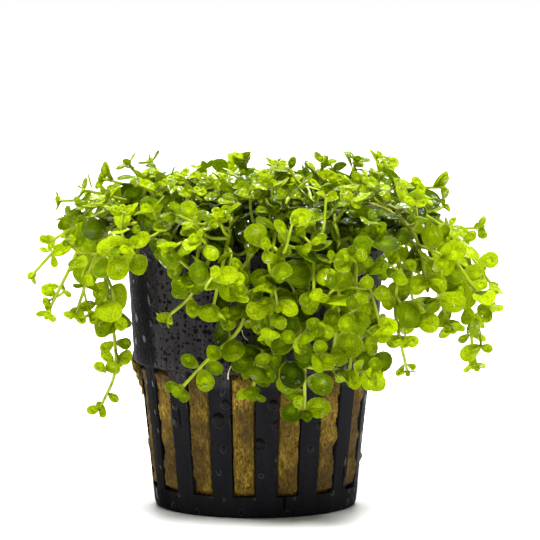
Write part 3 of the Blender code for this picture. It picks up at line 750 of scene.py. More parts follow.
    def finish_stems(self):
        """Leaf pairs between the solid ones and further down each stem, and a rosette at each tip."""
        for owner, stem in enumerate(self.stems):
            path, along, frames = stem["path"], stem["along"], stem["frames"]
            self.rosette(owner, path, frames, ROSETTE_SIZE * stem["leaf_radius"])
            if path[-1][2] > CROWN_TIP_Z:
                self.tip_pair(owner, path, along, frames, TIP_PAIR_SIZE * stem["leaf_radius"])
            places = [node["along"] for node in stem["nodes"]]
            gaps = [(a + b) / 2 for a, b in zip(places, places[1:])]
            low = places[-1] - at_or_last(INTERNODES, len(places)) * 0.75
            while low > LOWEST_PAIR:
                gaps.append(low)
                low -= LOW_PAIR_STEP
            for step, place in enumerate(gaps):
                index = step_at(along, place)
                size = stem["leaf_radius"] * at_or_last(PAIR_GROWTH, step)
                if in_boxes(path[index], SINGLE_TWIGS):
                    size *= SINGLE_TWIG_SIZE
                way = turned_axis(frames, index, math.pi / 4 + step * math.pi / 2)
                self.add_pair(owner, owner, path[index], way, size, PAIR_LEAN, place, PAIR_TRIES)

    def add_shoot(self, owner, start, heading, length, size):
        """A side shoot with its own pairs of leaves; left out where its stem has no free way."""
        random = self.random
        light = self.aim(start)
        for attempt in range(SHOOT_TRIES):
            side = unit(heading + 0.35 * random.normal(size=3))
            tip = start + length * unit(0.75 * side + 0.6 * light + 0.25 * random.normal(size=3))
            middle = start + 0.5 * length * unit(side + 0.25 * light)
            path, along = smooth_path(np.vstack([start, middle, tip]))
            inside = self.in_box(path) and tip[2] < crown_limit(tip) - 0.5 and inside_reach(path)
            if inside and not in_boxes(tip, FREE_PLACES) and self.has_way(path, along):
                self.grow_shoot(owner, path, along, size)
                break

    def has_way(self, path, along):
        """Whether a shoot's stem keeps clear of the pot, the leaves and the other stems."""
        return clear_of_pot(path[along > SHOOT_START], SHOOT_POT_GAP) and self.thicket.is_free(path, along)

    def add_set_shoots(self):
        """The listed shoots, each from the nearest place of its stem and moved until it is free."""
        names = [stem["name"] for stem in self.stems]
        for name, size, way in SIDE_SHOOTS:
            owner = names.index(name)
            stem_path = self.stems[owner]["path"]
            start = stem_path[np.argmin(np.linalg.norm(stem_path - np.array(way[0]), axis=1))]
            for attempt in range(SET_SHOOT_TRIES):
                moved = np.array(way[1:]) + 0.05 * attempt * self.random.normal(size=(len(way) - 1, 3))
                path, along = smooth_path(np.vstack([start, moved]))
                if self.has_way(path, along):
                    self.grow_shoot(owner, path, along, size)
                    break
            else:
                raise RuntimeError(f"A side shoot of {name} finds no free way")

    def grow_shoot(self, owner, path, along, size):
        """A shoot's stem with its pairs of leaves, each pair turned a quarter, and its tip's rosette."""
        frames = carry_frames(path)
        tag = FIRST_SHOOT_TAG + self.shoots
        self.shoots += 1
        self.thicket.add_stem(path, along, tag)
        self.tubes[owner].append(stem_tube(path, *SHOOT_STEM))
        place = along[-1] - SHOOT_FIRST_NODE
        step = 0
        while place > SHOOT_LOWEST_NODE:
            index = step_at(along, place)
            way = turned_axis(frames, index, step * math.pi / 2 + 0.5)
            grown = size * at_or_last(SHOOT_GROWTH, step)
            self.add_pair(owner, tag, path[index], way, grown, SHOOT_LEAN, place, SHOOT_LEAF_TRIES)
            place -= at_or_last(SHOOT_INTERNODES, step)
            step += 1
        self.rosette(owner, path, frames, ROSETTE_SIZE * size, 1 + self.shoots % 2)

    def add_shoots(self, rounds):
        """Side shoots, one a round from each stem: every other round towards the light, else by chance."""
        random = self.random
        for turn in range(rounds):
            for owner, stem in enumerate(self.stems):
                path, along, frames = stem["path"], stem["along"], stem["frames"]
                place = along[-1] - random.uniform(4.0, max(5.0, along[-1] - 5.0))
                index = step_at(along, place)
                point = path[index]
                light = self.aim(point)
                angles = random.uniform(0, FULL_TURN, 3)
                ways = (np.cos(angles)[:, None] * frames[1][index]
                        + np.sin(angles)[:, None] * frames[2][index])
                axis = ways[np.argmax(ways @ light)] if turn % 2 else ways[0]
                length = random.uniform(*SHOOT_LENGTH)
                size = stem["leaf_radius"] * (random.uniform(0.65, 0.95) + 0.15 * turn_to_viewer(point))
                x = point[0]
                every = LEFT_EVERY if x < LEFT_SIDE_X else RIGHT_EVERY if x > RIGHT_SIDE_X else 1
                if in_boxes(point, SINGLE_TWIGS) or turn % every:
                    continue
                heading = unit(axis + 0.7 * frames[0][index])
                self.add_shoot(owner, point + 0.2 * axis, heading, length, size)


def ring_fan(centre, ring, flip=False):
    """Triangles from a centre point to each side of a closed ring of points; flip turns them over."""
    after = np.roll(ring, -1)
    first, second = (after, ring) if flip else (ring, after)
    return np.stack([np.full(len(ring), centre), first, second], axis=1)


def grid_faces(rows, columns, keep=None):
    """Quads of a grid whose columns wrap round into rings; keep says which of its cells stay."""
    row, column = np.meshgrid(np.arange(rows - 1), np.arange(columns), indexing="ij")
    after = (column + 1) % columns
    quads = np.stack([row * columns + column, row * columns + after, (row + 1) * columns + after,
                      (row + 1) * columns + column], axis=-1)
    return quads.reshape(-1, 4) if keep is None else quads[keep]


def turned(angles, radius, z):
    """Points of a turned surface: the radius times each angle's cosine and sine, at the height z."""
    return np.stack(np.broadcast_arrays(np.cos(angles) * radius, np.sin(angles) * radius, z), axis=-1)


def part_of(points, quads, fans, slot=0):
    """A part of a mesh: its points, quads, fans of triangles and the number of its material."""
    return {"points": points, "quads": quads, "triangles": np.vstack(fans), "slot": slot}


def stem_tube(path, low_radius, high_radius, sides=7):
    """A round tube along a path, thinner to its tip, closed at both ends.

    A ring's points are the path's point plus the radius times the angle's cosine along the first cross
    direction and its sine along the second. The radius changes evenly from the low to the high end.
    """
    _, across, second = carry_frames(path)
    radius = low_radius + np.linspace(0, 1, len(path)) * (high_radius - low_radius)
    angles = np.linspace(0, FULL_TURN, sides, endpoint=False)[None, :, None]
    rings = path[:, None] + radius[:, None, None] * (np.cos(angles) * across[:, None]
                                                     + np.sin(angles) * second[:, None])
    count = len(path) * sides
    first, last = np.arange(sides), np.arange(count - sides, count)
    return part_of(np.vstack([rings.reshape(-1, 3), path[:1], path[-1:]]), grid_faces(len(path), sides),
                   [ring_fan(count, first, flip=True), ring_fan(count + 1, last)], slot=1)


# A leaf's grid, and its shape in shares of its radius: least and greatest width, bowl, fold, droop,
# wave and swelling, the share of leaves that are folded, and the most that two slow waves move its outline
LEAF_SECTORS = 14
LEAF_RINGS = (0.58, 1.0)
LEAF_WIDTH = (0.82, 1.02)
LEAF_BOWL = (-0.22, 0.2)
LEAF_FOLD = (-0.05, 0.32)
LEAF_DROOP = (-0.05, 0.16)
LEAF_WAVE = (0.0, 0.11)
LEAF_SWELLING = (0.0, 0.07)
FOLDED_SHARE = 0.75
OUTLINE_WAVES = ((2, 0.045), (3, 0.03))
WAVE_STARTS = 6.3

# A leaf's stalk: the width in radians of the bell curve that draws it out, and how far it runs on
STALK_WIDTH = 0.47
STALK_OVERRUN = 0.3


def leaf_surfaces(leaves, thickness, random):
    """Every leaf's closed blade at once, as a function of angle and share of the radius.

    The outline is a circle drawn out to the stem on one side by a bell curve of the angle. The blade's
    height is a bowl of the squared share, a fold that rises with the distance from the midrib, a droop
    along its length and a slow wave round its rim. Upper and lower sides stand half a thickness apart,
    less the cube of the share, and meet at the rim.
    """
    count = len(leaves)
    keys = ("base", "direction", "side", "normal", "radius", "petiole", "tone")
    base, direction, side, normal, radius, petiole, tone = (
        np.array([leaf[key] for leaf in leaves]) for key in keys)
    theta = np.linspace(0, FULL_TURN, LEAF_SECTORS, endpoint=False)
    to_stem = np.exp(-((theta - math.pi) / STALK_WIDTH) ** 2)
    width = random.uniform(*LEAF_WIDTH, (count, 1))
    uneven = 1.0
    for waves, most in OUTLINE_WAVES:
        uneven = uneven + (random.uniform(0, most, (count, 1))
                           * np.sin(waves * theta + random.uniform(0, WAVE_STARTS, (count, 1))))
    reach = (1 + ((petiole + STALK_OVERRUN) / radius)[:, None] * to_stem) * uneven
    shares = np.array((0.0,) + LEAF_RINGS)[:, None]
    x = (np.cos(theta) * reach)[:, None] * shares
    y = (np.sin(theta) * reach * width)[:, None] * shares
    each = (count, 1, 1)
    bowl = random.uniform(*LEAF_BOWL, each)
    fold = random.uniform(*LEAF_FOLD, each) * (random.random(each) < FOLDED_SHARE)
    droop = random.uniform(*LEAF_DROOP, each)
    wave = random.uniform(*LEAF_WAVE, each)
    phase = random.uniform(0, FULL_TURN, each)
    lift = (bowl * (x ** 2 + y ** 2) + fold * np.abs(y) - droop * (x + 1) ** 2 * 0.5
            + wave * shares ** 2 * np.sin(2 * theta + phase)) - bowl * 1.2
    lift[:, 1] += random.uniform(*LEAF_SWELLING, (count, 1))
    half = 0.5 * thickness * (1 - shares ** 3)
    centre = (base + direction * (petiole + radius)[:, None])[:, None, None]
    direction, side, normal = (way[:, None, None] for way in (direction, side, normal))
    plane = centre + radius[:, None, None, None] * (x[..., None] * direction + y[..., None] * side)
    lift = radius[:, None, None] * lift
    upper, lower = (plane + (lift + way * half)[..., None] * normal for way in (1, -1))

    def whole(above, below):
        """Each blade's values in one row: centre and rings above, then centre and inner rings below."""
        size = above.shape[-1]
        return np.concatenate([above[:, 0, :1], above[:, 1:].reshape(count, -1, size),
                               below[:, 0, :1], below[:, 1:-1].reshape(count, -1, size)], axis=1)

    points = whole(upper, lower)
    flat = np.stack([x, y], axis=-1) * 0.5 + 0.5
    low_centre = 1 + len(LEAF_RINGS) * LEAF_SECTORS
    upper_rings = 1 + np.arange(low_centre - 1).reshape(-1, LEAF_SECTORS)
    lower_rings = np.vstack([low_centre + upper_rings[:-1], upper_rings[-1:]])
    quads, fans = [], []
    for rings, middle, flip in ((upper_rings, 0, False), (lower_rings, low_centre, True)):
        fans.append(ring_fan(middle, rings[0], flip))
        for inner, outer in zip(rings, rings[1:]):
            quad = np.stack([inner, outer, np.roll(outer, -1), np.roll(inner, -1)], axis=1)
            quads.append(quad[:, ::-1] if flip else quad)
    per_leaf = points.shape[1]
    offset = (np.arange(count) * per_leaf)[:, None, None]
    part = part_of(points.reshape(-1, 3), (np.vstack(quads) + offset).reshape(-1, 4),
                   [(np.vstack(fans) + offset).reshape(-1, 3)])
    return {**part, "uv": whole(flat, flat).reshape(-1, 2), "tone": np.repeat(tone, per_leaf)}


def new_mesh(name, parts, materials, sharp=math.radians(60)):
    """One mesh object from its parts, each with its own flat map and tone where it has them."""
    mesh = bpy.data.meshes.new(name)
    loops, sizes, slots, maps, tones = [], [], [], [], []
    offset = 0
    for part in parts:
        count = len(part["points"])
        for faces in (part["quads"], part["triangles"]):
            if len(faces):
                loops.append((faces + offset).ravel())
                sizes.append(np.full(len(faces), faces.shape[1]))
                slots.append(np.full(len(faces), part["slot"]))
        maps.append(part.get("uv", np.zeros((count, 2))))
        tones.append(part.get("tone", np.zeros(count)))
        offset += count
    loops, sizes, slots = (np.concatenate(values).astype(np.int32) for values in (loops, sizes, slots))
    points = np.concatenate([part["points"] for part in parts]) * MM
    mesh.vertices.add(offset)
    mesh.vertices.foreach_set("co", points.astype(np.float32).ravel())
    mesh.loops.add(len(loops))
    mesh.loops.foreach_set("vertex_index", loops)
    mesh.polygons.add(len(sizes))
    mesh.polygons.foreach_set("loop_start", np.concatenate([[0], np.cumsum(sizes)[:-1]]).astype(np.int32))
    mesh.polygons.foreach_set("material_index", slots)
    mesh.update(calc_edges=True)
    leaf_map = mesh.uv_layers.new(name="leaf_map")
    leaf_map.data.foreach_set("uv", np.concatenate(maps)[loops].astype(np.float32).ravel())
    tone = mesh.attributes.new("tone", "FLOAT", "POINT")
    tone.data.foreach_set("value", np.concatenate(tones).astype(np.float32))
    mesh.validate()
    for material in materials:
        mesh.materials.append(material)
    mesh.shade_smooth()
    mesh.set_sharp_from_angle(angle=sharp)
    piece = bpy.data.objects.new(name, mesh)
    bpy.context.scene.collection.objects.link(piece)
    return piece


class Tree:
    """Shorthand for building a node tree; every method but node gives the socket that it puts out."""

    def __init__(self, tree):
        """Keep the tree that the nodes are added to."""
        self.tree = tree

    def node(self, kind, inputs=None, **settings):
        """Add a node with its fields set, and a socket linked or a value set at each named input."""
        made = self.tree.nodes.new(kind)
        for key, value in settings.items():
            setattr(made, key, value)
        for key, value in (inputs or {}).items():
            if isinstance(value, bpy.types.NodeSocket):
                self.tree.links.new(value, made.inputs[key])
            else:
                made.inputs[key].default_value = value
        return made

    def math(self, operation, *values, clamp=False):
        """Arithmetic on one to three values."""
        inputs = dict(enumerate(values))
        return self.node("ShaderNodeMath", inputs, operation=operation, use_clamp=clamp).outputs[0]

    def plus(self, first, second, clamp=False):
        """The sum of two values."""
        return self.math("ADD", first, second, clamp=clamp)

    def times(self, first, second):
        """The product of two values."""
        return self.math("MULTIPLY", first, second)

    def times_plus(self, first, second, third):
        """The product of the first two values, plus the third."""
        return self.math("MULTIPLY_ADD", first, second, third)

    def largest(self, first, *others):
        """The largest of several values."""
        for other in others:
            first = self.math("MAXIMUM", first, other)
        return first

    def heights(self, *pairs):
        """The sum of several heights, each times its share."""
        (height, share), *others = pairs
        total = self.times(height, share)
        for height, share in others:
            total = self.times_plus(height, share, total)
        return total

    def mix(self, factor, first, second, blend="MIX"):
        """One colour over another; the second is a socket or three numbers."""
        if not isinstance(second, bpy.types.NodeSocket):
            second = (*second, 1.0)
        inputs = {0: factor, 6: first, 7: second}
        return self.node("ShaderNodeMix", inputs, data_type="RGBA", blend_type=blend).outputs[2]

    def ramp(self, factor, *stops):
        """Colours over a factor, each stop with its place and its colour."""
        made = self.node("ShaderNodeValToRGB", {0: factor})
        elements = made.color_ramp.elements
        while len(elements) < len(stops):
            elements.new(0.5)
        for element, (place, color) in zip(elements, stops):
            element.position = place
            element.color = (*color, 1.0)
        return made.outputs[0]

    def smooth_range(self, value, low, high, to_low=0.0, to_high=1.0):
        """A smooth step from one value at low to another at high."""
        inputs = {0: value, 1: low, 2: high, 3: to_low, 4: to_high}
        return self.node("ShaderNodeMapRange", inputs, interpolation_type="SMOOTHSTEP").outputs[0]

    def place(self):
        """The place on the piece, in metres."""
        return self.node("ShaderNodeTexCoord").outputs["Object"]

    def split(self, vector):
        """The three numbers of a vector."""
        return self.node("ShaderNodeSeparateXYZ", {0: vector}).outputs

    def flat(self, x, y):
        """A place on a flat map."""
        return self.node("ShaderNodeCombineXYZ", {0: x, 1: y, 2: 0.0}).outputs[0]

    def tone(self):
        """The tone that each point of the mesh holds."""
        return self.node("ShaderNodeAttribute", attribute_name="tone").outputs["Fac"]

    def noise(self, place, scale, detail, distortion=0.0):
        """Noise with the given number of spots to a metre."""
        inputs = {"Vector": place, "Scale": scale, "Detail": detail, "Distortion": distortion}
        return self.node("ShaderNodeTexNoise", inputs).outputs[0]

    def bump(self, height, strength, distance):
        """The normal of a surface with a relief of the given depth in metres."""
        inputs = {"Strength": strength, "Distance": distance, "Height": height}
        return self.node("ShaderNodeBump", inputs).outputs[0]


def new_material(name):
    """A material and its tree, still without nodes."""
    material = bpy.data.materials.new(name)
    material.use_nodes = True
    material.node_tree.nodes.clear()
    return material, Tree(material.node_tree)


def droplet_group():
    """Domes of water clinging to a surface: a Height and a Mask, from Place, Size in metres and Amount.

    Cells of a flat, slightly wobbling pattern hold a dome each where their first random number is less
    than the amount. Its reach grows with the power of the second, and its height over the distance from
    the cell's middle is the root of one less the squared share of the reach, times the reach.
    """
    group = bpy.data.node_groups.new("droplets", "ShaderNodeTree")
    group.interface.new_socket("Place", in_out="INPUT", socket_type="NodeSocketVector")
    for name, value in (("Size", 0.002), ("Amount", 0.5)):
        group.interface.new_socket(name, in_out="INPUT", socket_type="NodeSocketFloat").default_value = value
    for name in ("Height", "Mask"):
        group.interface.new_socket(name, in_out="OUTPUT", socket_type="NodeSocketFloat")
    tree = Tree(group)
    given = tree.node("NodeGroupInput").outputs
    scale = tree.math("DIVIDE", 1.0, given["Size"])
    scaled = tree.node("ShaderNodeVectorMath", {0: given["Place"], "Scale": scale},
                       operation="SCALE").outputs[0]
    noise = tree.node("ShaderNodeTexNoise", {"Vector": scaled, "Scale": 1.3, "Detail": 1.0})
    wobble = noise.outputs["Color"]
    shifted = tree.node("ShaderNodeVectorMath", {0: wobble, 1: (0.35, 0.35, 0.0), 2: scaled},
                        operation="MULTIPLY_ADD").outputs[0]
    cells = tree.node("ShaderNodeTexVoronoi", {"Vector": shifted, "Scale": 1.0, "Randomness": 1.0},
                      voronoi_dimensions="2D")
    pick = tree.node("ShaderNodeSeparateColor", {0: cells.outputs["Color"]}).outputs
    present = tree.math("LESS_THAN", pick[0], given["Amount"])
    reach = tree.times_plus(tree.math("POWER", pick[1], 2.2), 0.3, 0.11)
    ratio = tree.math("DIVIDE", cells.outputs["Distance"], reach)
    dome = tree.math("SUBTRACT", 1.0, tree.times(ratio, ratio), clamp=True)
    dome = tree.times(tree.math("SQRT", dome), tree.times(present, reach))
    tree.node("NodeGroupOutput", {"Height": dome, "Mask": tree.smooth_range(dome, 0.0, 0.04)})
    return group


def droplets(tree, place, size, amount):
    """The droplets group placed in a material, with its own size and amount: its height and its mask."""
    group = bpy.data.node_groups.get("droplets") or droplet_group()
    inputs = {"Place": place, "Size": size, "Amount": amount}
    made = tree.node("ShaderNodeGroup", inputs, node_tree=group).outputs
    return made["Height"], made["Mask"]


# Leaf and stem look: half a leaf's width on the map of its beads, noise in spots to a metre, the size of
# a bead's cell, veins to half a leaf, their tint, and the share of light that comes through
LEAF_HALF_METRES = 0.0028
LEAF_CELLS = 2600.0
LEAF_PATCHES = 330.0
LEAF_FILM = 420.0
LEAF_RIPPLES = 800.0
LEAF_BEAD = 0.0017
STEM_GRAIN = 350.0
VEIN_COUNT = 2.4
VEIN_TINT = (1.45, 1.4, 1.3)
THROUGH_SHARE = 0.32


def leaf_material(settings):
    """A thin living leaf: lit through, dimpled, with faint veins, a pale rim, age tones with painted light
    and shade, and beads of water.

    The veins lie where the distance from the midrib, over the blade's width there, times their count, is
    a whole number. The age and painted light is the leaf's tone plus broad noise plus a painted highlight at
    its middle, with painted shade a little darker in a ring round it. The pale rim is partly the leaf's own
    pale margin and partly painted rim light. A film of water lies where a noise, raised with the height over
    the ground, passes a threshold.
    """
    material, tree = new_material("leaf")
    place = tree.place()
    tone = tree.tone()
    leaf_map = tree.node("ShaderNodeUVMap", uv_map="leaf_map").outputs[0]
    x, y = (tree.times_plus(value, 2.0, -1.0) for value in tree.split(leaf_map)[:2])
    squared = tree.times(x, x)
    width = tree.largest(tree.math("SUBTRACT", 1.12, squared), 0.08)
    line = tree.times(tree.math("DIVIDE", y, width), VEIN_COUNT)
    off_line = tree.math("ABSOLUTE", tree.math("SUBTRACT", line, tree.math("ROUND", line)))
    vein = tree.smooth_range(off_line, 0.02, 0.2, 1.0, 0.0)
    from_middle = tree.math("SQRT", tree.plus(squared, tree.times(y, y)))
    rim = tree.smooth_range(from_middle, 0.91, 0.99)
    dimple = tree.smooth_range(from_middle, 0.1, 0.52)
    # Painted highlight: the colour is lighter at a leaf's middle, with painted shade a little darker in a
    # ring round it.
    middle = tree.smooth_range(from_middle, 0.15, 0.62, 0.16, -0.06)
    cells = tree.noise(place, LEAF_CELLS, 3.0)
    broad = tree.noise(place, LEAF_PATCHES, 2.0)
    age_with_painted_light = tree.plus(tree.plus(tone, tree.times_plus(broad, 0.5, -0.25)), middle, clamp=True)
    base = tree.ramp(age_with_painted_light, (0.05, settings.old), (0.5, settings.grown), (0.95, settings.young))
    base = tree.mix(tree.smooth_range(cells, 0.4, 0.7, 0.0, 0.4), base, settings.old)
    base = tree.mix(tree.times(vein, 0.3), base, VEIN_TINT, "MULTIPLY")
    # The pale rim is partly the leaf's own pale margin and partly painted rim light.
    base = tree.mix(tree.times(rim, 0.42), base, settings.vein)
    beside = tree.times(tone, 0.9)
    spot = tree.flat(tree.times_plus(x, LEAF_HALF_METRES, beside), tree.times(y, LEAF_HALF_METRES))
    bead, wet = droplets(tree, spot, LEAF_BEAD, 0.5)
    high = tree.smooth_range(tree.split(place)[2], 0.046, 0.058, -0.12, 0.03)
    film = tree.smooth_range(tree.plus(tree.noise(place, LEAF_FILM, 1.0), high), 0.55, 0.58)
    relief = tree.heights((dimple, 0.5), (vein, -0.09), (cells, 0.2), (bead, 1.1))
    normal = tree.bump(relief, 0.8, 0.0009)
    wet_relief = tree.heights((tree.noise(place, LEAF_RIPPLES, 0.0), 1.6), (film, 0.3), (bead, 1.3))
    surface = tree.node("ShaderNodeBsdfPrincipled", {
        "Base Color": base, "Roughness": 0.42, "Normal": normal, "IOR": 1.15, "Specular IOR Level": 0.2,
        "Coat Weight": tree.largest(wet, film), "Coat Roughness": 0.05, "Coat IOR": 1.5,
        "Coat Normal": tree.bump(wet_relief, 0.9, 0.0012)})
    glow = tree.mix(tree.smooth_range(age_with_painted_light, 0.1, 0.75, 0.12, 0.6), base, settings.lit_through)
    through = tree.node("ShaderNodeBsdfTranslucent", {"Color": glow, "Normal": normal})
    mixed = tree.node("ShaderNodeMixShader", {
        0: THROUGH_SHARE, 1: surface.outputs[0], 2: through.outputs[0]})
    tree.node("ShaderNodeOutputMaterial", {0: mixed.outputs[0]})
    return material


def stem_material(settings):
    """Yellow-green stems, a little uneven, brown where their tone is woody."""
    material, tree = new_material("stem")
    noise = tree.noise(tree.place(), STEM_GRAIN, 3.0)
    green = tree.ramp(noise, (0.25, settings.grown), (0.5, settings.stem), (0.8, settings.vein))
    bark = tree.ramp(noise, (0.35, settings.bark), (0.7, settings.pale_bark))
    base = tree.mix(tree.tone(), green, bark)
    surface = tree.node("ShaderNodeBsdfPrincipled", {
        "Base Color": base, "Roughness": 0.35, "Normal": tree.bump(noise, 0.3, 0.0003),
        "Specular IOR Level": 0.3})
    through = tree.node("ShaderNodeBsdfTranslucent", {"Color": base})
    mixed = tree.node("ShaderNodeMixShader", {0: 0.25, 1: surface.outputs[0], 2: through.outputs[0]})
    tree.node("ShaderNodeOutputMaterial", {0: mixed.outputs[0]})
    return material


# Pot look: the radius at which its side is laid flat, the squeeze of hanging runs along their length,
# noise in spots to a metre, the colours of wet places, of the painted highlight on bead edges and of the
# painted shadow down the band's left side, and the turn of that shadow's line
SIDE_RADIUS = 0.0235
RUN_SQUEEZE = 0.17
SMEARS = 420.0
GRAIN = 1900.0
WET_BLACK = (0.004, 0.0035, 0.0035)
PAINTED_BEAD_HIGHLIGHT = (0.11, 0.105, 0.105)
PAINTED_SHADOW_BLACK = (0.004, 0.004, 0.004)
WORN_BLACK = (0.032, 0.030, 0.030)
PAINTED_SHADOW_TURN = 1.05


def pot_material(settings):
    """Black moulded plastic, wet: beads of water in three sizes stand on it, and runs hang down it.

    Its side is laid flat as the turn about the axis times a radius, and the height. Small beads fade out
    below the band. A painted shadow darkens the band within some turn of a line down its left side, and the
    large beads' edges carry a painted highlight.
    """
    material, tree = new_material("wet_black_plastic")
    place = tree.place()
    x, y, z = tree.split(place)
    turn = tree.math("ARCTAN2", x, tree.times(y, -1.0))
    arc = tree.times(turn, SIDE_RADIUS)
    flat = tree.flat(arc, z)
    hung = tree.flat(arc, tree.times(z, RUN_SQUEEZE))
    smear = tree.noise(hung, SMEARS, 4.0)
    grain = tree.noise(place, GRAIN, 4.0)
    base = tree.ramp(smear, (0.3, settings.plastic), (0.7, settings.pale_plastic))
    base = tree.mix(tree.smooth_range(grain, 0.35, 0.7, 0.0, 0.5), base, WORN_BLACK)
    on_band = tree.smooth_range(z, 0.0245, 0.0275, 0.12, 1.0)
    big, big_mask = droplets(tree, flat, settings.large_beads, 0.6)
    small, small_mask = (tree.times(value, on_band)
                         for value in droplets(tree, flat, settings.small_beads, 0.9))
    fine, fine_mask = (tree.times(value, on_band)
                       for value in droplets(tree, flat, settings.fine_beads, 0.55))
    run, run_mask = droplets(tree, hung, settings.runs, 0.22)
    wet = tree.largest(big_mask, small_mask, run_mask, fine_mask)
    # Painted shadow: the band is darkened down its left side, where leaves shade it.
    from_painted_shadow = tree.math("ABSOLUTE", tree.plus(tree.times_plus(smear, 0.5, turn), PAINTED_SHADOW_TURN))
    base = tree.mix(tree.smooth_range(z, 0.0235, 0.0255, 0.84, 0.0), base, settings.ribs)
    base = tree.mix(tree.times(wet, 0.9), base, WET_BLACK)
    # Painted highlight: a lighter ring at the edges of the large beads.
    base = tree.mix(tree.times(big_mask, tree.smooth_range(big, 0.05, 0.13, 0.55, 0.0)), base, PAINTED_BEAD_HIGHLIGHT)
    base = tree.mix(tree.smooth_range(from_painted_shadow, 0.2, 0.5, 0.9, 0.0), base, PAINTED_SHADOW_BLACK)
    relief = tree.heights((big, 1.0), (small, 0.36), (run, 0.6), (fine, 0.3), (grain, 0.06), (smear, 0.05))
    normal = tree.bump(relief, 0.75, 0.0024)
    dry_rough = tree.times_plus(smear, 0.3, 0.25)
    rough = tree.node("ShaderNodeMix", {0: wet, 2: dry_rough, 3: 0.3}, data_type="FLOAT").outputs[0]
    surface = tree.node("ShaderNodeBsdfPrincipled", {
        "Base Color": base, "Roughness": rough, "Normal": normal, "IOR": 1.09, "Specular IOR Level": 0.06,
        "Coat Weight": tree.times(big_mask, 0.25), "Coat Roughness": 0.12, "Coat IOR": 1.33,
        "Coat Normal": normal})
    tree.node("ShaderNodeOutputMaterial", {0: surface.outputs[0]})
    return material


# Rockwool and root look: the squeeze that makes fibres upright, noise in spots to a metre, dark colours
FIBRE_SQUEEZE = (1.0, 1.0, 0.3)
FIBRES = 2300.0
WOOL_PATCHES = 95.0
WOOL_PITS = 420.0
ROOT_GRAIN = 900.0
DAMP_BROWN = (0.05, 0.028, 0.007)
PIT_BROWN = (0.02, 0.01, 0.004)


def wool_material(settings):
    """Damp brown rockwool: upright matted fibres, darker in broad patches and in the pits between them."""
    material, tree = new_material("rockwool_fibre")
    place = tree.place()
    upright = tree.node("ShaderNodeMapping", {"Vector": place, "Scale": FIBRE_SQUEEZE}).outputs[0]
    fibres = tree.noise(upright, FIBRES, 6.0, 1.2)
    patches = tree.noise(place, WOOL_PATCHES, 5.0)
    pits = tree.node("ShaderNodeTexVoronoi", {"Vector": place, "Scale": WOOL_PITS}).outputs["Distance"]
    base = tree.ramp(fibres, (0.28, settings.dark_wool), (0.5, settings.wool), (0.72, settings.pale_wool))
    base = tree.mix(tree.smooth_range(patches, 0.42, 0.62, 0.0, 0.75), base, DAMP_BROWN)
    base = tree.mix(tree.smooth_range(pits, 0.05, 0.16, 0.7, 0.0), base, PIT_BROWN)
    relief = tree.heights((patches, 0.5), (fibres, 0.7))
    surface = tree.node("ShaderNodeBsdfPrincipled", {
        "Base Color": base, "Roughness": 0.8, "Normal": tree.bump(relief, 0.9, 0.0009),
        "Specular IOR Level": 0.15})
    tree.node("ShaderNodeOutputMaterial", {0: surface.outputs[0]})
    return material


def root_material(settings):
    """Pale, damp roots, slightly see-through."""
    material, tree = new_material("fine_root")
    noise = tree.noise(tree.place(), ROOT_GRAIN, 2.0)
    base = tree.ramp(noise, (0.35, settings.dark_root), (0.6, settings.root))
    surface = tree.node("ShaderNodeBsdfPrincipled", {
        "Base Color": base, "Roughness": 0.3, "Subsurface Weight": 0.2, "Subsurface Scale": 0.001})
    tree.node("ShaderNodeOutputMaterial", {0: surface.outputs[0]})
    return material


# The pot's grid: columns across a slot and a rib, rows up a slot and up the band
SLOT_COLUMNS = 6
RIB_COLUMNS = 5
SLOT_ROWS = 7
BAND_ROWS = 8
DRAIN_ROW = 1


def pot_profile():
    """The wall's section from its hub to its lip: rows of an outer and an inner radius and height.

    The wall's sides run parallel. Its corners are rounded off by some tenths of a millimetre. Also given
    is the number of the row at which the slots start.
    """
    under = POT_HEIGHT - LIP_THICKNESS
    step = BAND_BOTTOM_Z + BAND_STEP_HEIGHT
    at_step, at_lip, at_top = (band_radius(z) for z in (step, under, POT_HEIGHT))
    rows = [((radius, 0.0), (radius, WALL))
            for radius in (HUB_RADIUS, DRAIN_INNER_RADIUS, DRAIN_OUTER_RADIUS)]
    rows += [((BASE_RADIUS - 0.7, 0.0), (BASE_RADIUS - WALL - 0.5, WALL)),
             ((BASE_RADIUS - 0.15, 0.25), (BASE_RADIUS - WALL, WALL + 0.2)),
             ((rib_radius(0.9), 0.9), (rib_radius(0.9) - WALL, WALL + 0.7))]
    slot_row = len(rows)
    rows += [((rib_radius(z), z), (rib_radius(z) - WALL, z))
             for z in np.linspace(SLOT_BOTTOM_Z, BAND_BOTTOM_Z, SLOT_ROWS + 1)]
    rows += [((at_step - 0.25, step - 0.25), (at_step - WALL - 0.6, step)),
             ((at_step, step + 0.15), (at_step - WALL, step + WALL))]
    rows += [((band_radius(z), z), (band_radius(z) - WALL, z))
             for z in np.linspace(step + 2.0, under - 0.8, BAND_ROWS)]
    rows += [((at_lip + 0.25, under - 0.15), (at_lip - WALL, under - 0.1)),
             ((at_lip + 0.8, under), (at_top - WALL, POT_HEIGHT - 0.6)),
             ((LIP_RADIUS - 0.3, under), (at_top - WALL + 0.08, POT_HEIGHT - 0.2)),
             ((LIP_RADIUS, under + 0.3), (at_top - WALL + 0.3, POT_HEIGHT)),
             ((LIP_RADIUS, POT_HEIGHT - 0.3), (LIP_RADIUS - 1.6, POT_HEIGHT)),
             ((LIP_RADIUS - 0.3, POT_HEIGHT), (LIP_RADIUS - 0.8, POT_HEIGHT))]
    return np.array(rows), slot_row


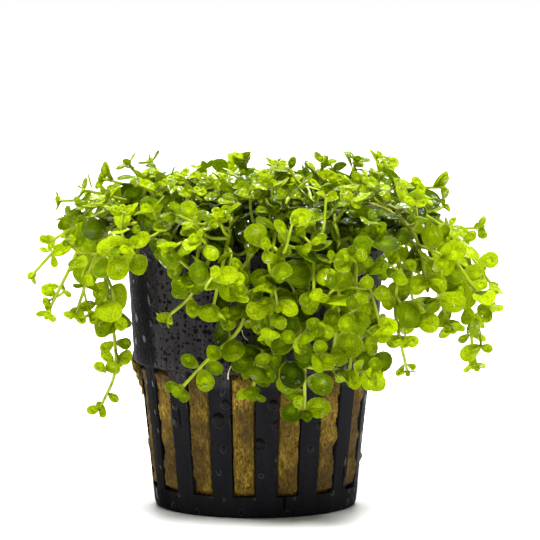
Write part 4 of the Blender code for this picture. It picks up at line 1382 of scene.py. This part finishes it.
def pot_part():
    """The pot's wall as one grid of angle and profile, opened in cells, with a wall round each opening.

    A point is its profile's radius times the angle's cosine and sine, at its profile's height.
    """
    period = FULL_TURN / SLOT_COUNT
    half = SLOT_SHARE / 2
    local = np.concatenate([np.linspace(-half, half, SLOT_COLUMNS, endpoint=False),
                            np.linspace(half, 1 - half, RIB_COLUMNS, endpoint=False)])
    angles = ((np.arange(SLOT_COUNT)[:, None] + local[None]) * period).ravel()
    columns = len(angles)
    slot, place = np.divmod(np.arange(columns), len(local))
    in_slot = place < SLOT_COLUMNS
    in_drain = in_slot & (slot % SLOTS_PER_DRAIN == 0)
    rows, slot_row = pot_profile()
    count = len(rows)
    sheets = [turned(angles, rows[:, side, :1], rows[:, side, 1:]).reshape(-1, 3) for side in (0, 1)]
    solid = np.ones((count - 1, columns), bool)
    solid[slot_row:slot_row + SLOT_ROWS] = ~in_slot
    solid[DRAIN_ROW] = ~in_drain
    shift = count * columns
    faces = grid_faces(count, columns, solid)
    row, column = np.nonzero(solid)
    after = (column + 1) % columns
    low, low_after = row * columns + column, row * columns + after
    high, high_after = low + columns, low_after + columns
    above = np.vstack([solid, np.zeros((1, columns), bool)])[row + 1, column]
    below = (row == 0) | solid[np.maximum(row - 1, 0), column]
    walls = []
    for closed, first, second in ((solid[row, column - 1], low, high), (above, high, high_after),
                                  (solid[row, after], high_after, low_after), (below, low_after, low)):
        a, b = first[~closed], second[~closed]
        walls.append(np.stack([a, b, b + shift, a + shift], axis=1))
    hub = np.arange(columns)
    points = np.vstack(sheets + [[[0, 0, 0], [0, 0, WALL]]])
    return part_of(points, np.vstack([faces, faces[:, ::-1] + shift] + walls),
                   [ring_fan(2 * shift, hub, flip=True), ring_fan(2 * shift + 1, shift + hub)])


def ripple(points, waves, size, seed):
    """Smooth noise: a sum of sine waves in random directions, about the given size across."""
    random = np.random.default_rng(seed)
    total = np.zeros(points.shape[:-1])
    for _ in range(waves):
        direction = random.normal(size=3)
        direction *= random.uniform(0.6, 1.6) * FULL_TURN / size / np.linalg.norm(direction)
        total += np.sin(points @ direction + random.uniform(0, FULL_TURN))
    return total / math.sqrt(waves)


# The rockwool's grid, its rings inward over the top, and the swelling by the flake at the left
WOOL_COLUMNS = 448
WOOL_ROWS = 96
WOOL_TOP_SHARES = (0.97, 0.85, 0.66, 0.45, 0.22)
SWOLLEN_SLOT = 7
SWELLING_Z = 25.2
SWELLING_HEIGHT = 5.2
SWELLING_TURN = 0.075


def wool_part():
    """The rockwool as radius over angle and height: a plug, swollen a little into every slot.

    The radius is that of the pot's inside, plus the wall's thickness where both the angle and the height
    lie in a slot, plus a bell curve of angle and height at the flake, plus smooth noise in the slots. The
    top falls by a noise that is never above it.
    """
    angles = np.linspace(0, FULL_TURN, WOOL_COLUMNS, endpoint=False)
    z = np.linspace(WOOL_BOTTOM_Z, WOOL_TOP_Z - 0.8, WOOL_ROWS)[:, None]
    period = FULL_TURN / SLOT_COUNT
    from_slot = np.abs((angles + period / 2) % period - period / 2) / (SLOT_SHARE * period / 2)
    across = between(from_slot, 0.985, 0.905)
    across = across * across * (3 - 2 * across)
    low, high = SLOT_BOTTOM_Z + 0.15, BAND_BOTTOM_Z - 0.15
    up = between(z, low, low + 0.8) * between(z, high, high - 0.8)
    body = np.where(z < BAND_BOTTOM_Z, rib_radius(z), band_radius(z)) - WALL - 0.25
    radius = np.minimum(body, WOOL_TOP_RADIUS) + (WALL + 0.05) * up * across
    rise = np.exp(-(np.clip(SWELLING_Z - z, 0, None) / SWELLING_HEIGHT) ** 2)
    rise = rise * between(z, BAND_BOTTOM_Z - 0.1, BAND_BOTTOM_Z - 1.3)
    radius = radius + rise * np.exp(-((angles - SWOLLEN_SLOT * period) / SWELLING_TURN) ** 2)
    smooth = turned(angles, radius, z)
    rough = 0.22 * ripple(smooth, 14, 4.0, 3) + 0.13 * ripple(smooth, 14, 1.3, 4)
    radius = radius + rough * (up * across) - 0.1
    top = turned(angles, np.array(WOOL_TOP_SHARES)[:, None] * radius[-1], WOOL_TOP_Z)
    top[..., 2] -= 0.25 * np.abs(ripple(top, 10, 5.0, 6))
    points = np.vstack([turned(angles, radius, z).reshape(-1, 3), top.reshape(-1, 3),
                        [[0, 0, WOOL_TOP_Z - 0.1], [0, 0, WOOL_BOTTOM_Z]]])
    column = np.arange(WOOL_COLUMNS)
    count = len(points) - 2
    return part_of(points, grid_faces(count // WOOL_COLUMNS, WOOL_COLUMNS),
                   [ring_fan(count, count - WOOL_COLUMNS + column), ring_fan(count + 1, column, flip=True)])


# The flake at the left: its turn, and its spine's radius and thickness over the height
FLAKE_TURN = math.radians(171)
FLAKE_HEIGHTS = (18.5, 22.0, 24.0, 26.0, 26.7, 28.7)
FLAKE_RADII = (20.7, 21.5, 22.0, 22.65, 23.5, 23.4)
FLAKE_THICKNESS = (0.3, 0.7, 1.0, 1.25, 0.42, 0.12)
FLAKE_ROWS = 26
FLAKE_COLUMNS = 24


def flake_part():
    """A torn flake of wool outside the pot's left side, closed at both ends.

    It is an ellipse carried up a curved spine: out by the thickness times the angle's cosine, aside by
    the width times its sine and a slow sine of the height, and roughened by smooth noise.
    """
    share = np.linspace(0.0, 1.0, FLAKE_ROWS)[:, None]
    z = FLAKE_HEIGHTS[0] + share * (FLAKE_HEIGHTS[-1] - FLAKE_HEIGHTS[0])
    spine = np.interp(z, FLAKE_HEIGHTS, FLAKE_RADII)
    thick = np.interp(z, FLAKE_HEIGHTS, FLAKE_THICKNESS)
    round_off = np.sqrt(np.clip(1 - (2 * share - 1) ** 4, 0, None))
    wide = 0.15 + 1.5 * round_off * (0.45 + 0.55 * share)
    angles = np.linspace(0, FULL_TURN, FLAKE_COLUMNS, endpoint=False)
    out = spine + thick * np.cos(angles)
    aside = wide * np.sin(angles) + 0.3 * np.sin(5.0 * share)
    points = np.stack([out * math.cos(FLAKE_TURN) - aside * math.sin(FLAKE_TURN),
                       out * math.sin(FLAKE_TURN) + aside * math.cos(FLAKE_TURN),
                       np.broadcast_to(z, out.shape)], axis=-1)
    points = points + 0.1 * ripple(points, 12, 1.4, 8)[..., None] * np.array([1.0, 1.0, 0.6])
    ends = points[[0, -1]].mean(axis=1)
    column = np.arange(FLAKE_COLUMNS)
    count = FLAKE_ROWS * FLAKE_COLUMNS
    return part_of(np.vstack([points.reshape(-1, 3), ends]), grid_faces(FLAKE_ROWS, FLAKE_COLUMNS),
                   [ring_fan(count, column, flip=True), ring_fan(count + 1, count - FLAKE_COLUMNS + column)])


# Fine roots on the pot: the thickness, and the places across and up that each one passes
ROOTS = (
    (0.16, ((-4.9, 26.2), (-4.8, 27.6), (-4.2, 29.0))),
    (0.11, ((2.6, 28.6), (3.4, 27.5), (4.4, 26.4), (4.6, 24.8))),
    (0.13, ((20.9, 35.2), (20.5, 33.6), (19.6, 32.4), (19.9, 31.6))),
    (0.10, ((-2.4, 35.4), (-2.0, 34.2), (-1.2, 33.4))),
)


def root_parts():
    """Fine pale roots that cling to the pot: tubes along curves through places on its front side."""
    parts = []
    for thickness, places in ROOTS:
        x, z = np.array(places).T
        surface = np.where(z > BAND_BOTTOM_Z, band_radius(z), rib_radius(z) + 0.15)
        y = -np.sqrt((surface + 0.25) ** 2 - x ** 2)
        path, _ = smooth_path(np.stack([x, y, z], axis=1), 0.3)
        parts.append(stem_tube(path, thickness, 0.5 * thickness, 6))
    return parts


# How woody some stems are at their roots and any other is, and where up a stem it ends and begins to fade
WOODY = {"right_sprig_7": 0.95, "right_sprig_4": 0.7, "back_sprig_2": 0.8}
USUAL_WOODY = 0.25
WOODY_REACH = (31.2, 7.2)

# The spread of the sprigs' shades and of the single leaves' tones
SPRIG_SHADES = 0.06
LEAF_TONES = 0.18


def leaf_age_and_painted_light(leaf, tip, random, shade):
    """A leaf's tone from 0, dark, to 1, bright: its age, with small leaves near the tip young, plus painted
    light and shade.

    It is a sum of shares between 0 and 1, each times its weight, plus the sprig's shade and a chance
    amount: small size and nearness to the tip make it young; the ways out, up and right, and the twig low
    at the left add painted light; and a place inside, deep under the crown or in front adds painted shade.
    """
    centre = leaf["centre"]
    x, y, z = centre
    outward = math.hypot(x, y)
    small = between(leaf["radius"], 2.9, 0.7)
    near_tip = between(np.linalg.norm(centre - tip), 16.0, 0.0)
    outer = between(outward, 25.0, 39.0)
    inner = between(outward, 31.0, 25.0) * between(z, 60.0, 54.0)
    upper = between(z, 55.0, 62.0)
    deep = between(crown_limit(centre) - z, 2.5, 8.5) * (z > 50.0) * (outward < 33.0)
    right = between(x, 24.0, 34.0)
    twig = between(x, -20.0, -24.0) * between(z, 46.0, 40.0)
    front = turn_to_viewer(centre) * (abs(x) < 24.0)
    # Painted light and shade: the ways out, up and right and the low twig brighten a leaf, and a place
    # inside, deep under the crown or in front darkens it.
    tone = (0.29 + 0.28 * small + 0.2 * near_tip + 0.32 * outer + 0.26 * upper + 0.02 * right
            - 0.5 * inner * (1 - 0.8 * near_tip) * (1 - twig) - 0.28 * deep - 0.12 * front + 0.3 * twig
            + random.normal(0, LEAF_TONES))
    return float(np.clip(tone + shade, 0.1, 1))


# The lowest tip in front: the direction, face and radius of the leaves that spread there across the view
SPREAD_TIP = "front_sprig_10"
SPREAD_LEAVES = (
    ((-0.95, -0.2, -0.25), (0.1, -1.0, 0.3), 2.0),
    ((0.97, -0.15, 0.12), (-0.1, -1.0, 0.25), 2.1),
    ((0.15, -0.75, -0.65), (0.1, -0.7, 0.7), 1.3),
    ((-0.5, -0.45, 0.75), (0.2, -1.0, 0.1), 1.4),
)
SPREAD_FREE = 2.8


def spread_at_tip(leaves, tip):
    """A sprig's leaves with those at its tip taken away and the set ones put in their place."""
    kept = [leaf for leaf in leaves if np.linalg.norm(leaf["base"] - tip) > SPREAD_FREE]
    return kept + [blade(tip, np.array(way), np.array(face), radius) for way, face, radius in SPREAD_LEAVES]


def thinned_twig(leaves):
    """A sprig's leaves, with those low at the left narrower and only every second pair of them kept.

    Higher at the far left one leaf in five is left out.
    """
    kept = []
    for number, leaf in enumerate(leaves):
        x, _, z = leaf["centre"]
        if x < -20.0 and z < 33.0:
            if number // 2 % 2 == 0:
                kept.append({**leaf, "radius": 0.8 * leaf["radius"]})
        elif not (x < -25.0 and 38.0 < z < 57.0 and number % 5 == 4):
            kept.append(leaf)
    return kept


def color_setting(name, description, *default):
    """A colour setting: red, green and blue from 0 to 1."""
    return bpy.props.FloatVectorProperty(name=name, description=description, default=default,
                                         subtype="COLOR", size=3, min=0.0, max=1.0)


def length_setting(name, description, default, most):
    """A length setting in metres, from a hundredth of its greatest value up."""
    return bpy.props.FloatProperty(name=name, description=description, default=default,
                                   subtype="DISTANCE", min=most / 100, max=most, precision=5)


def angle_setting(name, description, degrees, most):
    """An angle setting, given in degrees."""
    return bpy.props.FloatProperty(name=name, description=description, default=math.radians(degrees),
                                   subtype="ANGLE", min=0.0, max=math.radians(most))


def strength_setting(name, description, default):
    """A setting of how strong a light is."""
    return bpy.props.FloatProperty(name=name, description=description, default=default, min=0.0, max=50.0)


class POTPLANT_PG_pot(bpy.types.PropertyGroup):
    """Finish of the net pot, its water, its rockwool and its roots."""
    edge_round: length_setting("Edge rounding", "Bevel on the moulded edges", 0.00012, 0.0004)
    large_beads: length_setting("Large beads", "Cell size of the largest beads of water", 0.0038, 0.02)
    small_beads: length_setting("Small beads", "Cell size of the small beads on the band", 0.0013, 0.02)
    fine_beads: length_setting("Fine beads", "Cell size of the finest beads on the band", 0.0008, 0.02)
    runs: length_setting("Runs", "Cell width of the runs of water that hang down", 0.0034, 0.02)
    plastic: color_setting("Plastic", "Colour of the plastic between its smears", 0.018, 0.0165, 0.017)
    pale_plastic: color_setting("Smeared plastic", "Colour under dried smears", 0.050, 0.046, 0.046)
    ribs: color_setting("Ribs", "Colour of the ribs below the band", 0.009, 0.0095, 0.0115)
    dark_wool: color_setting("Dark rockwool", "Colour between the fibres", 0.04, 0.024, 0.003)
    wool: color_setting("Rockwool", "Colour of most fibres", 0.18, 0.112, 0.012)
    pale_wool: color_setting("Pale rockwool", "Colour of the palest fibres", 0.42, 0.27, 0.035)
    dark_root: color_setting("Dark root", "Colour of the darker parts of the fine roots", 0.34, 0.30, 0.16)
    root: color_setting("Root", "Colour of the fine roots", 0.66, 0.62, 0.42)


class POTPLANT_PG_foliage(bpy.types.PropertyGroup):
    """How thick the plant grows, how stout it is, and its colours."""
    shoot_rounds: bpy.props.IntProperty(name="Shoot rounds", description="Side shoots tried on each stem",
                                        default=15, min=0, max=30)
    leaf_thickness: length_setting("Leaf thickness", "Thickness of a leaf at its middle", 0.00026, 0.0006)
    stem_root_radius: length_setting("Stem at its root", "Radius of a stem at its root", 0.00047, 0.0008)
    stem_tip_radius: length_setting("Stem at its tip", "Radius of a stem at its tip", 0.0003, 0.0008)
    # The young, grown and old colours are the ramp that each leaf's tone runs over, so they carry painted
    # light and shade as well as age.
    young: color_setting("Young leaf", "Colour of leaves near the tips", 0.46, 0.60, 0.002)
    grown: color_setting("Grown leaf", "Colour of leaves in the middle", 0.17, 0.265, 0.001)
    old: color_setting("Old leaf", "Colour of the lowest leaves", 0.035, 0.065, 0.001)
    vein: color_setting("Leaf rim", "Colour of a leaf's rim and a stem's palest parts", 0.58, 0.66, 0.05)
    lit_through: color_setting("Lit through", "Colour of light through a leaf", 0.60, 0.78, 0.001)
    stem: color_setting("Stem", "Colour of the stems", 0.42, 0.54, 0.008)
    bark: color_setting("Bark", "Colour of woody stems", 0.16, 0.085, 0.02)
    pale_bark: color_setting("Pale bark", "Colour of the paler parts of woody stems", 0.50, 0.40, 0.13)


class POTPLANT_PG_stage(bpy.types.PropertyGroup):
    """Floor, light and camera."""
    floor: color_setting("Floor", "Colour of the floor", 0.93, 0.93, 0.93)
    surround: strength_setting("Surround", "Strength of the white surround behind", 1.0)
    front: strength_setting("Front", "Strength of the surround at the camera's side", 0.2)
    overhead: strength_setting("Overhead light", "Strength of the wide light above", 7.2)
    rear: strength_setting("Rear light", "Strength of the wide light from behind", 2.8)
    light_width: angle_setting("Light width", "Width of both lights as seen from the plant", 30, 180)
    distance: length_setting("Camera distance", "From the camera to the middle of the view", 0.6, 10.0)
    tilt: angle_setting("Camera tilt", "How far the camera looks down", 4.85, 90)
    lens: bpy.props.FloatProperty(name="Lens", description="Focal length of the camera",
                                  default=212.0, min=10.0, max=1000.0, unit="CAMERA")
    target: bpy.props.FloatVectorProperty(name="Middle of the view", description="Where the camera looks",
                                          default=(0.00274, 0.0, 0.0443), size=3, subtype="TRANSLATION")


class POTPLANT_OT_net_pot(bpy.types.Operator):
    """Make the wet black net pot"""
    bl_idname = "potplant.net_pot"
    bl_label = "Net pot"

    def execute(self, context):
        """Build the pot's mesh, round its edges and let it stand for the solid pot."""
        settings = context.scene.potplant_pot
        pot = new_mesh("net_pot_moulding", [pot_part()], [pot_material(settings)], math.radians(38))
        bevel = pot.modifiers.new("round_edges", "BEVEL")
        bevel.width = settings.edge_round
        bevel.segments = 2
        bevel.limit_method = "ANGLE"
        bevel.angle_limit = math.radians(50)
        bevel.harden_normals = True
        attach(pot, "root")
        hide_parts("net_pot")
        return {"FINISHED"}


class POTPLANT_OT_rockwool(bpy.types.Operator):
    """Make the fibrous rockwool that fills the pot"""
    bl_idname = "potplant.rockwool"
    bl_label = "Rockwool"

    def execute(self, context):
        """Build the plug, the flake and the fine roots as one piece."""
        settings = context.scene.potplant_pot
        wool = new_mesh("rockwool_plug", [wool_part(), flake_part()] + root_parts(),
                        [wool_material(settings), root_material(settings)])
        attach(wool, "root")
        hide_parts("rockwool")
        return {"FINISHED"}


class POTPLANT_OT_sprigs(bpy.types.Operator):
    """Grow the sprigs with their leaves and side shoots"""
    bl_idname = "potplant.sprigs"
    bl_label = "Sprigs"

    def execute(self, context):
        """Grow all stems and leaves together, then make one piece of each sprig."""
        settings = context.scene.potplant_foliage
        materials = [leaf_material(settings), stem_material(settings)]
        stems = grow_stems()
        grow_leaves(stems)
        growth = Growth(stems, cad_bounds, (settings.stem_root_radius / MM, settings.stem_tip_radius / MM))
        growth.add_set_shoots()
        growth.finish_stems()
        growth.add_shoots(settings.shoot_rounds)
        random = np.random.default_rng(SURFACE_SEED)
        for owner, stem in enumerate(stems):
            name, path = stem["name"], stem["path"]
            leaves = thinned_twig(growth.leaves[owner])
            if name == SPREAD_TIP:
                leaves = spread_at_tip(leaves, path[-1])
            shade = random.normal(0, SPRIG_SHADES)
            for leaf in leaves:
                leaf["tone"] = leaf_age_and_painted_light(leaf, path[-1], random, shade)
            parts = [leaf_surfaces(leaves, settings.leaf_thickness / MM, random)]
            for tube in growth.tubes[owner]:
                away = np.linalg.norm(tube["points"] - path[0], axis=1)
                woody = WOODY.get(name, USUAL_WOODY) * between(away, *WOODY_REACH)
                parts.append({**tube, "tone": woody})
            piece = new_mesh(name + "_foliage", parts, materials, math.radians(80))
            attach(piece, "root")
            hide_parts(stem["name"])
        return {"FINISHED"}


# The floor's radius and corners, the lights' turns in degrees, and the camera's film and range
FLOOR_RADIUS = 60000.0
FLOOR_CORNERS = 96
OVERHEAD_TURN = (14, 4, 0)
REAR_TURN = (-52, 0, 0)
SENSOR_WIDTH = 36.0
CAMERA_RANGE = (0.01, 200.0)


class POTPLANT_OT_stage(bpy.types.Operator):
    """Set the floor, the soft light and the camera"""
    bl_idname = "potplant.stage"
    bl_label = "Stage"

    def execute(self, context):
        """Make a round floor, a white surround, two wide lights and the camera."""
        settings = context.scene.potplant_stage
        scene = context.scene
        material, tree = new_material("pale_floor")
        surface = tree.node("ShaderNodeBsdfPrincipled", {
            "Base Color": (*settings.floor, 1.0), "Roughness": 0.6})
        tree.node("ShaderNodeOutputMaterial", {0: surface.outputs[0]})
        angles = np.linspace(0, FULL_TURN, FLOOR_CORNERS, endpoint=False)
        points = np.vstack([turned(angles, FLOOR_RADIUS, 0.0), [[0, 0, 0]]])
        fan = ring_fan(FLOOR_CORNERS, np.arange(FLOOR_CORNERS))
        floor = new_mesh("floor", [part_of(points, np.empty((0, 4), int), [fan])], [material])
        world = bpy.data.worlds.new("white_surround")
        world.use_nodes = True
        sky = Tree(world.node_tree)
        way = sky.split(sky.node("ShaderNodeTexCoord").outputs["Generated"])[1]
        background = world.node_tree.nodes["Background"]
        background.inputs["Color"].default_value = (1.0, 1.0, 1.0, 1.0)
        behind = sky.smooth_range(way, 0.8, 0.975, settings.front, settings.surround)
        world.node_tree.links.new(behind, background.inputs["Strength"])
        scene.world = world
        for name, strength, turn in (("overhead_light", settings.overhead, OVERHEAD_TURN),
                                     ("rear_light", settings.rear, REAR_TURN)):
            light = bpy.data.lights.new(name, "SUN")
            light.energy = strength
            light.angle = settings.light_width
            lamp = bpy.data.objects.new(name, light)
            lamp.rotation_euler = np.radians(turn)
            scene.collection.objects.link(lamp)
        data = bpy.data.cameras.new("camera")
        data.lens = settings.lens
        data.sensor_width = SENSOR_WIDTH
        data.clip_start, data.clip_end = CAMERA_RANGE
        camera = bpy.data.objects.new("camera", data)
        back = np.array([0, -math.cos(settings.tilt), math.sin(settings.tilt)])
        camera.location = np.array(settings.target) + settings.distance * back
        camera.rotation_euler = (math.pi / 2 - settings.tilt, 0.0, 0.0)
        scene.collection.objects.link(camera)
        scene.camera = camera
        scene.view_settings.view_transform = "Standard"
        return {"FINISHED"}


class POTPLANT_PT_panel(bpy.types.Panel):
    """The steps, sizes and colours of the potted plant"""
    bl_label = "Potted micranthemum"
    bl_idname = "POTPLANT_PT_panel"
    bl_space_type = "VIEW_3D"
    bl_region_type = "UI"
    bl_category = "Plant"

    def draw(self, context):
        """Show every setting of the three groups, then a button for each step."""
        for name in GROUPS:
            group = getattr(context.scene, name)
            for key in group.bl_rna.properties.keys():
                if key not in ("rna_type", "name"):
                    self.layout.prop(group, key)
        for operator in OPERATORS:
            self.layout.operator(operator.bl_idname)


OPERATORS = (POTPLANT_OT_net_pot, POTPLANT_OT_rockwool, POTPLANT_OT_sprigs, POTPLANT_OT_stage)
GROUPS = {"potplant_pot": POTPLANT_PG_pot, "potplant_foliage": POTPLANT_PG_foliage,
          "potplant_stage": POTPLANT_PG_stage}


def register():
    """Make the classes known to Blender."""
    for name, group in GROUPS.items():
        bpy.utils.register_class(group)
        setattr(bpy.types.Scene, name, bpy.props.PointerProperty(type=group))
    for entry in OPERATORS + (POTPLANT_PT_panel,):
        bpy.utils.register_class(entry)


def unregister():
    """Take the classes away again."""
    for entry in (POTPLANT_PT_panel,) + OPERATORS[::-1]:
        bpy.utils.unregister_class(entry)
    for name, group in GROUPS.items():
        delattr(bpy.types.Scene, name)
        bpy.utils.unregister_class(group)


def main():
    """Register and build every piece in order."""
    register()
    bpy.ops.potplant.net_pot()
    bpy.ops.potplant.rockwool()
    bpy.ops.potplant.sprigs()
    bpy.ops.potplant.stage()


if __name__ == "__main__":
    main()
